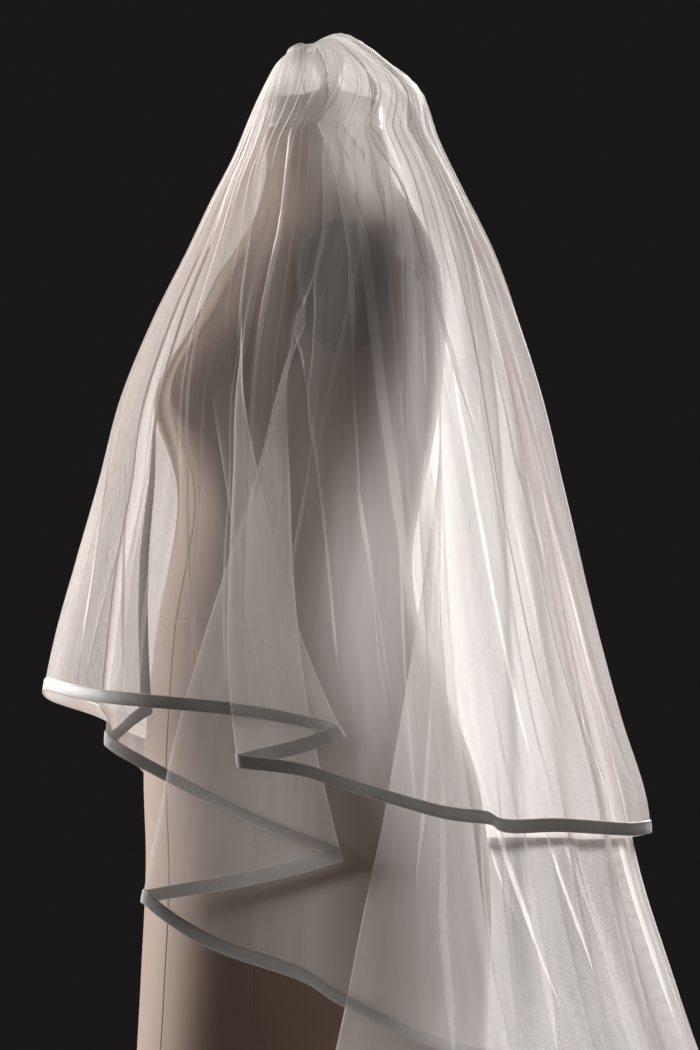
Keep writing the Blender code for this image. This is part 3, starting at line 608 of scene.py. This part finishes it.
class Tier:
    """One tier of the veil: its columns run along the hem, its rows from the heading to the hem."""

    def __init__(self, drape_rows, fold_rows, closed, cut_width):
        self.closed = closed
        self.cut_width = cut_width
        self.drape = columns_of(drape_rows, DRAPE_KEYS)
        self.level_places = np.linspace(LEVEL_RING, len(self.drape) - 1, LEVEL_SAMPLES)
        self.level_heights = spline(self.drape[:, SIDE_Z], self.level_places)
        rows = table(fold_rows)
        if closed:
            start, pitch = rows[0]["neck"], 360.0 / len(rows)
        else:
            start, pitch = LOWER_HEADING_START, (LOWER_HEADING_END - LOWER_HEADING_START) / (len(rows) - 1)
        stops = np.array([
            (start + pitch * i, row["neck"], row["hem"], row["out"], row["height"])
            for i, row in enumerate(rows)
        ])
        first, last = 0, len(stops) - 1
        if closed:
            lap = np.array((360.0, 360.0, 360.0, 0.0, 0.0))
            stops = np.vstack((stops[-1] - lap, stops, stops[0] + lap, stops[1] + lap))
            first, last = 1, last + 2
        self.fine = spline(stops, np.linspace(first, last, HEM_SAMPLES))
        hem = self.points(self.places_at(self.fine[:, HEM_HEIGHT]), self.fine)
        lengths = np.linalg.norm(np.diff(hem, axis=0), axis=1)
        self.run = np.concatenate(((0.0,), np.cumsum(lengths)))
        self.hem_length = self.run[-1]

    def columns_at(self, along):
        """Heading, neck and hem angle, standing out and hem height at distances along the hem."""
        if self.closed:
            laps = np.floor(along / self.hem_length)
        else:
            along, laps = np.clip(along, 0.0, self.hem_length), np.zeros(along.shape)
        along = along - laps * self.hem_length
        found = [np.interp(along, self.run, self.fine[:, k]) for k in range(len(STOP_KEYS))]
        return np.stack([*(angle + 360.0 * laps for angle in found[:3]), *found[3:]], axis=1)

    def places_at(self, heights):
        """The places down the drape's level rows at these heights."""
        return np.interp(-np.asarray(heights), -self.level_heights, self.level_places)

    def base(self, places, degrees):
        """Points of the plain drape."""
        front, front_z, side, side_z, back, back_z = spline(self.drape[:, :6], places).T
        across, along = np.sin(np.radians(degrees)), -np.cos(np.radians(degrees))
        middle, half_depth = (front + back) / 2, (back - front) / 2
        end_z = np.where(along < 0, front_z, back_z)
        height = across * across * side_z + along * along * end_z
        return points_of(side * across, middle + half_depth * along, height)

    def points(self, places, columns):
        """Points of the tier for each column at its own place down the drape."""
        at_heading, at_neck, at_hem, out, hem_height = columns.T
        share = spline(self.drape[:, SHARE], places)
        height = spline(self.drape[:, SIDE_Z], places)
        gather = np.minimum(places / NECK_RING, 1.0)
        turned = np.clip((TURN_START - height) / (TURN_START - hem_height), 0.0, 1.0) ** TURN_POWER
        degrees = at_heading + (at_neck - at_heading) * gather + (at_hem - at_neck) * turned
        step = 0.01
        around = self.base(places, degrees + 0.5) - self.base(places, degrees - 0.5)
        down = self.base(places + step, degrees) - self.base(np.maximum(places - step, 0), degrees)
        return self.base(places, degrees) + unit(np.cross(down, around)) * (out * share)[:, None]

    def places_on_row(self, row, fall_rows, columns):
        """The places of one row of the sheet: even down to the chest, then even down each column."""
        if row < CROWN_ROWS:
            return np.full(len(columns), LEVEL_RING * row / CROWN_ROWS)
        share = (row - CROWN_ROWS) / fall_rows
        chest = self.level_heights[0]
        return self.places_at(chest + (columns[:, HEM_HEIGHT] - chest) * share)

    def ways_out(self, points):
        """The way out at each point of a sheet."""
        down = np.gradient(points, axis=0)
        if self.closed:
            around = np.roll(points, -1, axis=1) - np.roll(points, 1, axis=1)
        else:
            around = np.gradient(points, axis=1)
        return unit(np.cross(down, around))


def small_gathers(tier, count, seed, height):
    """Creases scattered all along a tier, from the heading down, in the columns of the crease tables."""
    pitch = tier.hem_length / count
    start = (np.arange(count) + SCATTER_START * scattered(count, seed)) * pitch
    drift = (scattered(count, seed + 4) - 0.5) * SCATTER_DRIFT
    side = np.where(scattered(count, seed + 5) < 0.5, -1.0, 1.0)
    return np.stack((
        SCATTER_TOP * scattered(count, seed + 7),
        start,
        start + drift * SCATTER_DRIFT_MIDDLE,
        ranged(SCATTER_LOW, scattered(count, seed + 3) ** SCATTER_LOW_POWER),
        start + drift,
        ranged(SCATTER_WIDTH, scattered(count, seed + 2)),
        height * ranged(SCATTER_HEIGHT, scattered(count, seed + 1)),
        side * ranged(SCATTER_FOLD, scattered(count, seed + 6)),
    ), axis=1)


def mirrored(tier, creases):
    """The likes of the listed creases on the tier's other side."""
    count = len(creases)
    other = creases.copy()
    along = [TOP_AT, MIDDLE_AT, LOW_AT]
    other[:, along] = tier.hem_length - creases[:, along] * ranged(MIRROR_PLACE, scattered(count, 8)[:, None])
    other[:, TOP] += MIRROR_TOP * scattered(count, 5)
    other[:, WIDTH] *= ranged(MIRROR_WIDTH, scattered(count, 6))
    other[:, FOLD] *= np.where(scattered(count, 9) < MIRROR_SAME_WAY, *MIRROR_FOLDS)
    return other


def softened(value):
    """From 0 to 1 with a smooth start and end."""
    value = np.clip(value, 0.0, 1.0)
    return value * value * (3.0 - 2.0 * value)


def sheet_points(tier, fall_rows, columns, creases):
    """The points of a tier's fine sheet and of the same sheet without creases."""
    along = np.linspace(0.0, tier.hem_length, columns, endpoint=not tier.closed)
    stops = tier.columns_at(along)
    hem_places = tier.places_at(stops[:, HEM_HEIGHT])
    plain, creased, lifts = [], [], []
    for row in range(CROWN_ROWS + fall_rows + 1):
        places = tier.places_on_row(row, fall_rows, stops)
        shift, lift = np.zeros(columns), np.zeros(columns)
        near_hem = softened((hem_places - places) / HEM_FADE)
        for top, top_at, middle_at, low, low_at, width, height, fold in creases:
            t = np.clip((places - top) / (low - top), 0.0, 1.0)
            centre = top_at * (1 - t) * (1 - 2 * t) + 4 * middle_at * t * (1 - t) + low_at * t * (2 * t - 1)
            away = along - centre
            if tier.closed:
                away = (away + tier.hem_length / 2) % tier.hem_length - tier.hem_length / 2
            reach = away / width
            fade = softened((places - top) / CREASE_FADE) * softened((low - places) / CREASE_FADE)
            strength = np.exp(-reach * reach) * fade * near_hem
            shift -= abs(fold) * away * strength
            lean = np.tanh(CREASE_LEAN_SHARPNESS * reach * np.sign(fold))
            lift += height * strength * ranged(CREASE_LEAN, lean)
        moved = tier.columns_at(along + shift)
        plain.append(tier.points(places, stops))
        creased.append(tier.points(tier.places_on_row(row, fall_rows, moved), moved))
        crown = ranged(CROWN_GATHER, softened(places / LEVEL_RING))
        lifts.append(lift * spline(tier.drape[:, GATHER], places) * crown)
    plain = np.array(plain)
    return np.array(creased) + tier.ways_out(plain) * (HALF_CLOTH + np.array(lifts))[..., None], plain


def make_tier(name, tier, fall_rows, columns, creases, material, node):
    """One tier's sheet, with how many layers its gathers bring together, and its points without creases."""
    points, plain = sheet_points(tier, fall_rows, columns, creases)
    piece = add_grid(name, points, tier.closed, tier.cut_width)
    beside = np.roll(plain, -1, axis=1) - plain
    if not tier.closed:
        beside[:, -1] = beside[:, -2]
    pitch = tier.cut_width / columns
    fullness = np.clip(pitch / np.maximum(np.linalg.norm(beside, axis=2), 1e-6), 1.0, FULLEST)
    layer = piece.data.attributes.new("fullness", "FLOAT", "POINT")
    layer.data.foreach_set("value", fullness.astype(np.float32).ravel())
    return dress(piece, material, "tulle", node), plain + tier.ways_out(plain) * HALF_CLOTH


def ribbon_points(edge, up, out):
    """Rings of the ribbon's section along an edge, from its way up the cloth and its way out of it."""
    return np.array([
        edge + up * (RIBBON_WIDTH * row["up"]) + out * row["out"] for row in table(RIBBON_SECTION)
    ])


def make_stitches(name, edge, up, out, material, closed):
    """A row of short stitches along a ribbon's upper edge."""
    if closed:
        edge, up, out = (np.concatenate((line, line[:1])) for line in (edge, up, out))
    line = edge + up * (RIBBON_WIDTH * STITCH_UP) + out * STITCH_OUT
    run = np.concatenate(((0.0,), np.cumsum(np.linalg.norm(np.diff(line, axis=0), axis=1))))
    middles = np.arange(STITCH_PITCH, run[-1] - STITCH_PITCH, STITCH_PITCH)
    start, middle, end, rise, proud = (
        np.stack([np.interp(middles + shift, run, values[:, k]) for k in range(3)], axis=1)
        for shift, values in (
            (-STITCH_LENGTH / 2, line), (0.0, line), (STITCH_LENGTH / 2, line), (0.0, up), (0.0, out),
        )
    )
    side = unit(rise) * STITCH_HALF_WIDTH
    top = unit(proud) * STITCH_HALF_WIDTH * STITCH_PROUD
    points = np.stack((start, middle + side, middle + top, middle - side, end), axis=1).reshape(-1, 3)
    ends = ((0, 1, 2), (0, 2, 3), (0, 3, 1), (4, 2, 1), (4, 3, 2), (4, 1, 3))
    faces = [tuple(5 * k + corner for corner in face) for k in range(len(middles)) for face in ends]
    return dress(add_mesh(name, points, faces), material, "satin_ribbon")


def dress(piece, material, slot, *nodes):
    """Puts a finish on a piece and sets it on the frame in place of its nodes."""
    piece.data.materials.clear()
    piece.data.materials.append(material)
    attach(piece, "root")
    if nodes:
        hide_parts(*nodes)
    return piece


def tulle_finish():
    """Sheer net: light passes between its threads, which spread it forwards and back."""
    finish = Finish("tulle")
    across, down = finish.flat()
    cells, falls = across / NET_CELL, down / NET_CELL
    one_way = (cells + NET_SLANT * falls).waves() ** 4.0
    other_way = (cells - NET_SLANT * falls).waves() ** 4.0
    streaks = finish.noise(across * 120.0, down * 5.0, 0.0, 1.0)
    cover = ranged(NET_COVER, one_way.at_least(other_way)) * ranged(NET_STREAKS, streaks)
    layers = finish.wire(finish.node("ShaderNodeAttribute", {"attribute_name": "fullness"}), 2) ** LAYER_POWER
    facing = finish.wire(finish.node("ShaderNodeLayerWeight", None, {"Blend": 0.5}), 1)
    slant = (1.0 - facing).at_least(LEAST_SLANT)
    coverage = 1.0 - (1.0 - cover) ** (layers / slant)
    cloth = finish.surface({
        "Base Color": TULLE_COLOUR,
        "Roughness": 0.72,
        "Specular IOR Level": 0.0,
        "Sheen Weight": 0.2,
    })
    through = finish.node("ShaderNodeBsdfTranslucent", None, {"Color": TULLE_COLOUR})
    clear = finish.node("ShaderNodeBsdfTransparent")
    thread = finish.share(TULLE_THROUGH, cloth, through)
    return finish.end(finish.share(coverage, clear, thread))


def satin_finish():
    """Satin ribbon: pale and glossy, with fine cross ribs and streaks along its length."""
    finish = Finish("satin_ribbon")
    along, across = finish.flat()
    ribs = (along / 0.0006).waves()
    streaks = finish.noise(along * 30.0, across * 2600.0, 0.0, 2.0)
    clouds = finish.noise(along * 16.0, across * 60.0, 4.0, 2.0)
    cloth = finish.surface({
        "Base Color": finish.mix(clouds, (0.80, 0.765, 0.74), (0.92, 0.89, 0.865)),
        "Roughness": 0.34 + 0.20 * clouds,
        "Anisotropic": 0.4,
        "Sheen Weight": 0.3,
        "Normal": finish.bump(0.35 * ribs + 0.65 * streaks, 0.00018, 0.6),
    })
    through = finish.node("ShaderNodeBsdfTranslucent", None, {"Color": (0.90, 0.87, 0.85, 1.0)})
    return finish.end(finish.share(SATIN_THROUGH, cloth, through))


def stitch_finish():
    """Twisted cotton thread."""
    finish = Finish("stitch_thread")
    x, y, z = finish.place()
    twist = finish.noise(x * 2400.0, y * 2400.0, z * 2400.0, 1.0)
    thread = finish.surface({
        "Base Color": finish.mix(twist, (0.44, 0.41, 0.39), (0.62, 0.59, 0.57)),
        "Roughness": 0.65,
        "Normal": finish.bump(twist, 0.0001),
    })
    return finish.end(thread)


def ruched_finish():
    """Many layers of tulle bunched together: white, soft and no longer sheer."""
    finish = Finish("ruched_tulle")
    x, y, z = finish.place()
    net = finish.noise(x * 1500.0, y * 1500.0, z * 900.0, 2.0)
    cloth = finish.surface({
        "Base Color": finish.mix(net, (0.80, 0.775, 0.765), (0.94, 0.92, 0.91)),
        "Roughness": 0.8,
        "Sheen Weight": 0.4,
        "Normal": finish.bump(net, 0.0003, 0.7),
    })
    return finish.end(cloth)


def jersey_finish():
    """Beige cotton jersey stretched over the form: fine knit ribs and a faint unevenness."""
    finish = Finish("form_jersey")
    x, y, z = finish.place()
    turn = y.math("ARCTAN2", y, x) * 0.16
    wales = (turn / 0.0011).waves()
    courses = (z / 0.0009).waves()
    clouds = finish.noise(x * 26.0, y * 26.0, z * 18.0, 3.0)
    fuzz = finish.noise(x * 1700.0, y * 1700.0, z * 1700.0, 2.0)
    cloth = finish.surface({
        "Base Color": finish.mix(0.6 * clouds + 0.4 * fuzz, (0.33, 0.215, 0.155), (0.43, 0.295, 0.225)),
        "Roughness": 0.78 + 0.12 * fuzz,
        "Sheen Weight": 0.35,
        "Sheen Roughness": 0.5,
        "Normal": finish.bump(0.35 * wales * courses + 0.65 * fuzz, 0.00022, 0.8),
    })
    return finish.end(cloth)


def moulded_finish(name, dark, light, roughness, metallic=0.0):
    """Moulded or painted hard surface with a fine grain and faint handling marks."""
    finish = Finish(name)
    x, y, z = finish.place()
    marks = finish.noise(x * 40.0, y * 40.0, z * 40.0, 4.0)
    grain = finish.noise(x * 2200.0, y * 2200.0, z * 2200.0, 2.0)
    shell = finish.surface({
        "Base Color": finish.mix(0.75 * marks + 0.25 * grain, dark, light),
        "Roughness": (roughness - 0.08) + 0.16 * marks,
        "Metallic": metallic,
        "Normal": finish.bump(grain, 0.00006, 0.6),
    })
    return finish.end(shell)


def make_form():
    """The dress form's torso: smooth sections with a seam worked in at each of its panels' edges."""
    sections = columns_of(FORM_SECTIONS, ("height", "half_width", "front", "back"))
    turns = np.concatenate((np.arange(0.0, 360.0, TURN_STEP), *(turn + SEAM_NEAR for turn in SEAM_TURNS)))
    turns = np.unique(np.round(turns % 360.0, 3))
    top, bottom = sections[-1, 0], sections[0, 0]
    heights = np.concatenate((
        np.linspace(bottom, top, FORM_ROWS),
        WAIST_SEAM + SEAM_NEAR * WAIST_SEAM_REACH,
        np.linspace(NECK_SEAM - NECK_SEAM_REACH, NECK_SEAM + NECK_SEAM_REACH, NECK_SEAM_ROWS),
    ))
    heights = np.unique(np.round(heights, 5))[::-1]
    places = np.interp(heights, sections[:, 0], np.arange(len(sections)))
    power = 2 / FORM_SQUARENESS
    s, c = np.sin(np.radians(turns)), -np.cos(np.radians(turns))
    rows = []
    for height, (_, half_width, front, back) in zip(heights, spline(sections, places)):
        x = half_width * np.sign(s) * np.abs(s) ** power
        y = (front + back) / 2 + (back - front) / 2 * np.sign(c) * np.abs(c) ** power
        rise = ((height - BUST_HEIGHT) / BUST_SPREAD_HIGH) ** 2
        swell = sum(
            np.exp(-((x - side * BUST_APART) / BUST_SPREAD_WIDE) ** 2 - rise) for side in (-1, 1)
        )
        y = y - np.where(c < 0, BUST_REACH * np.minimum(swell, BUST_MOST) * np.abs(c) ** 0.5, 0.0)
        if height >= ARM_PLANE_LOW:
            x = np.clip(x, -ARM_PLANE, ARM_PLANE)
        rows.append(points_of(x, y, height))
    points = np.array(rows)
    around = np.roll(points, -1, axis=1) - np.roll(points, 1, axis=1)
    out = unit(np.cross(np.gradient(points, axis=0), around))
    depth = np.zeros(points.shape[:2])
    radius = np.linalg.norm(points[..., :2], axis=2)
    for turn in SEAM_TURNS:
        apart = np.radians((turns - turn + 180.0) % 360.0 - 180.0)[None, :] * radius
        below_neck = points[..., 2] < NECK_SEAM + NECK_SEAM_SLOPE * points[..., 1]
        depth = np.maximum(depth, np.exp(-((apart / SEAM_HALF_WIDTH) ** 2)) * below_neck)
    for seam, slope in ((WAIST_SEAM, 0.0), (NECK_SEAM, NECK_SEAM_SLOPE)):
        apart = points[..., 2] - seam - slope * points[..., 1]
        depth = np.maximum(depth, np.exp(-((apart / SEAM_HALF_WIDTH) ** 2)))
    points = points - out * (SEAM_DEPTH * depth)[..., None]
    piece = add_grid("form_torso", points, True, FORM_MAP, caps=True, sharp=60)
    return dress(piece, jersey_finish(), "form_cover", "dress_form")


def make_arm_plate(name, side, material, node):
    """A slightly domed oval plate with a rounded rim and a groove inside it."""
    seat = ARM_PLANE + ARM_PLATE_GAP
    turns = np.radians(np.arange(0.0, 360.0, TURN_STEP)) * side
    rings = [
        points_of(
            side * (seat + out),
            ARM_PLATE_BACK + ARM_PLATE_HALF_WIDTH * share * np.cos(turns),
            ARM_PLATE_HEIGHT + ARM_PLATE_HALF_HEIGHT * share * np.sin(turns),
        )
        for share, out in reversed(ARM_PLATE_SECTION)
    ]
    piece = add_grid(name, np.array(rings), True, SMALL_MAP, caps=True, sharp=50)
    return dress(piece, material, "arm_plate", node)


def make_turned(name, profile, centre, material, slot, node, squeeze=1.0):
    """A piece turned about an upright line from its profile of heights and radii."""
    turns = np.radians(np.arange(0.0, 360.0, 360.0 / TURNED_SIDES))
    rings = [
        points_of(
            centre[0] + max(radius, POINTED_RADIUS) * np.sin(turns),
            centre[1] - squeeze * max(radius, POINTED_RADIUS) * np.cos(turns),
            height,
        )
        for height, radius in reversed(profile)
    ]
    piece = add_grid(name, np.array(rings), True, SMALL_MAP, caps=True, sharp=40)
    return dress(piece, material, slot, node)


def make_heading():
    """The puckered band that both tiers are gathered onto."""
    low, high = (np.array(corner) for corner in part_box("gathered_heading"))
    middle, half = (low + high) / 2, (high - low) / 2
    turns = np.arange(0.0, 2 * math.pi, 2 * math.pi / HEADING_SIDES)
    pucker = 0.5 + 0.5 * np.cos(PUCKERS * turns + 1.4 * np.sin(5 * turns) + 0.9 * np.sin(9 * turns))
    rings = []
    for rise, out, share in HEADING_SECTION:
        spread = out + PUCKER_OUT * share * (pucker - 0.5)
        rings.append(points_of(
            middle[0] + (half[0] + spread) * np.sin(turns),
            middle[1] - (half[1] + spread) * np.cos(turns),
            low[2] + (high[2] - low[2]) * rise + PUCKER_UP * share * pucker,
        ))
    piece = add_grid("heading_gathers", np.array(rings), True, HEADING_MAP, caps=True)
    return dress(piece, ruched_finish(), "satin_ribbon", "gathered_heading")


def bind(name, edge, up, out, closed, length, material, thread, node):
    """A ribbon folded over an edge of the cloth, and the stitches that hold it."""
    piece = add_grid(name, ribbon_points(edge, up, out), closed, length, ringed=True)
    dress(piece, material, "satin_ribbon", node)
    return piece, make_stitches(name + "_stitches", edge, up, out, thread, closed)


def make_hem(name, tier, points, material, thread, node):
    """The bound hem of a tier."""
    edge = points[-1]
    up = unit(points[-2] - points[-1])
    out = tier.ways_out(points)[-1]
    return bind(name, edge, up, out, tier.closed, tier.hem_length, material, thread, node)


def make_edge(name, tier, points, at_edge, inside, material, thread, node):
    """One bound free edge of a tier, from the chest to the hem's ribbon.

    It runs along the column at the edge, and a column inside gives the way in from there.
    """
    edge, inner = points[CROWN_ROWS:-1, at_edge], points[CROWN_ROWS:-1, inside]
    up = unit(inner - edge)
    out = tier.ways_out(points)[CROWN_ROWS:-1, at_edge]
    length = np.linalg.norm(np.diff(edge, axis=0), axis=1).sum()
    return bind(name, edge, up, out, False, length, material, thread, node)


def pointed(name, data, place, way):
    """A camera or lamp at a place, turned to look a given way."""
    thing = bpy.data.objects.new(name, data)
    thing.location = place
    thing.rotation_mode = "QUATERNION"
    thing.rotation_quaternion = way.to_track_quat("-Z", "Y")
    bpy.context.scene.collection.objects.link(thing)
    return thing


tulle = tulle_finish()
satin = satin_finish()
thread = stitch_finish()
upper = Tier(UPPER_DRAPE, UPPER_FOLDS, closed=True, cut_width=2.05)
lower = Tier(LOWER_DRAPE, LOWER_FOLDS, closed=False, cut_width=2.30)
hand_upper = columns_of(UPPER_CREASES, CREASE_KEYS)
hand_lower = columns_of(LOWER_CREASES, CREASE_KEYS)
upper_small = small_gathers(upper, count=84, seed=3, height=0.7)
lower_small = small_gathers(lower, count=90, seed=11, height=0.4)
upper_creases = np.concatenate((hand_upper, mirrored(upper, hand_upper), upper_small))
lower_creases = np.concatenate((hand_lower, mirrored(lower, hand_lower), lower_small))
upper_piece, upper_points = make_tier(
    "veil_upper_tier", upper, UPPER_FALL_ROWS, UPPER_COLUMNS, upper_creases, tulle, "upper_tier",
)
lower_piece, lower_points = make_tier(
    "veil_lower_tier", lower, LOWER_FALL_ROWS, LOWER_COLUMNS, lower_creases, tulle, "lower_tier",
)
upper_trim = make_hem("veil_upper_ribbon", upper, upper_points, satin, thread, "upper_ribbon")
lower_trim = make_hem("veil_lower_ribbon", lower, lower_points, satin, thread, "lower_ribbon")
left_trim = make_edge("veil_left_edge_ribbon", lower, lower_points, 0, 5, satin, thread, "left_edge_ribbon")
right_trim = make_edge(
    "veil_right_edge_ribbon", lower, lower_points, -1, -6, satin, thread, "right_edge_ribbon",
)
make_heading()

make_form()
plate_finish = moulded_finish("arm_plate_plastic", (0.022, 0.019, 0.019), (0.040, 0.035, 0.034), 0.42)
cap_finish = moulded_finish("neck_cap_plastic", (0.84, 0.83, 0.81), (0.92, 0.91, 0.90), 0.42)
stand_finish = moulded_finish("stand_paint", (0.018, 0.017, 0.017), (0.035, 0.033, 0.032), 0.36)
make_arm_plate("form_left_arm_plate", 1, plate_finish, "left_arm_plate")
make_arm_plate("form_right_arm_plate", -1, plate_finish, "right_arm_plate")
make_turned("form_neck_cap", NECK_CAP_PROFILE, (0.0, -0.001), cap_finish, "neck_cap", "neck_cap", 0.991)
finial_low, finial_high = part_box("finial")
finial_profile = [
    (finial_low[2] + (finial_high[2] - finial_low[2]) * share, radius) for share, radius in FINIAL_RISE
]
finial_centre = ((finial_low[0] + finial_high[0]) / 2, (finial_low[1] + finial_high[1]) / 2)
make_turned("form_finial", finial_profile, finial_centre, cap_finish, "neck_cap", "finial")
make_turned("stand_pole", POLE_PROFILE, (0.0, 0.0), stand_finish, "stand", "pole")
make_turned("stand_base", BASE_PROFILE, (0.0, 0.0), stand_finish, "stand", "base")

# Camera, as the photograph was taken: from the form's left, a little in front of square
CAMERA_TURN = math.radians(80.0)
CAMERA_AWAY = 2.726
CAMERA_ASIDE = 0.0234
CAMERA_HEIGHT = 1.089
back = Vector((math.sin(CAMERA_TURN), -math.cos(CAMERA_TURN), 0.0))
aside = Vector((math.cos(CAMERA_TURN), math.sin(CAMERA_TURN), 0.0))
camera = bpy.data.cameras.new("camera")
camera.lens = 100.0
camera.sensor_width = 36.0
spot = back * CAMERA_AWAY + aside * CAMERA_ASIDE + Vector((0, 0, CAMERA_HEIGHT))
scene = bpy.context.scene
scene.camera = pointed("camera", camera, spot, -back)

# A pale round floor, just under the base
FLOOR_RADIUS = 0.9
FLOOR_HEIGHT = -0.0005
floor_turns = np.radians(np.arange(0, 360, 3))
floor_points = points_of(
    FLOOR_RADIUS * np.sin(floor_turns), FLOOR_RADIUS * np.cos(floor_turns), FLOOR_HEIGHT,
)
floor = add_mesh("floor", floor_points, [tuple(reversed(range(len(floor_points))))])
floor.data.materials.append(moulded_finish("floor_paint", (0.44, 0.435, 0.43), (0.50, 0.495, 0.49), 0.7))

# Two strong soft lamps behind the veil, and weak ones above it and by the camera
LIGHTS = (
    ("name", "at", "aim", "size", "watts", "colour"),
    ("left_rim", (-1.7, -1.85, 1.5), (0.0, -0.05, 1.05), 0.9, 118.0, (1.0, 0.98, 0.96)),
    ("right_rim", (-2.1, 1.4, 1.5), (0.0, 0.1, 1.05), 0.7, 182.0, (0.99, 0.985, 1.0)),
    ("top", (0.2, 0.2, 3.1), (0.1, 0.0, 1.3), 0.7, 13.0, (1.0, 0.99, 0.98)),
    ("fill", (2.8, 0.6, 1.4), (0.0, 0.0, 1.0), 2.0, 1.6, (1.0, 0.96, 0.93)),
)
for row in table(LIGHTS):
    lamp = bpy.data.lights.new(row["name"], "AREA")
    lamp.size = row["size"]
    lamp.energy = row["watts"]
    lamp.color = row["colour"]
    pointed(row["name"], lamp, row["at"], Vector(row["aim"]) - Vector(row["at"]))

world = bpy.data.worlds.new("studio")
world.use_nodes = True
world.node_tree.nodes["Background"].inputs["Color"].default_value = (0.010, 0.009, 0.009, 1.0)
scene.world = world
scene.cycles.transparent_max_bounces = 24
scene.cycles.max_bounces = 3
scene.cycles.diffuse_bounces = 1
scene.cycles.transmission_bounces = 2
scene.view_settings.view_transform = "Standard"
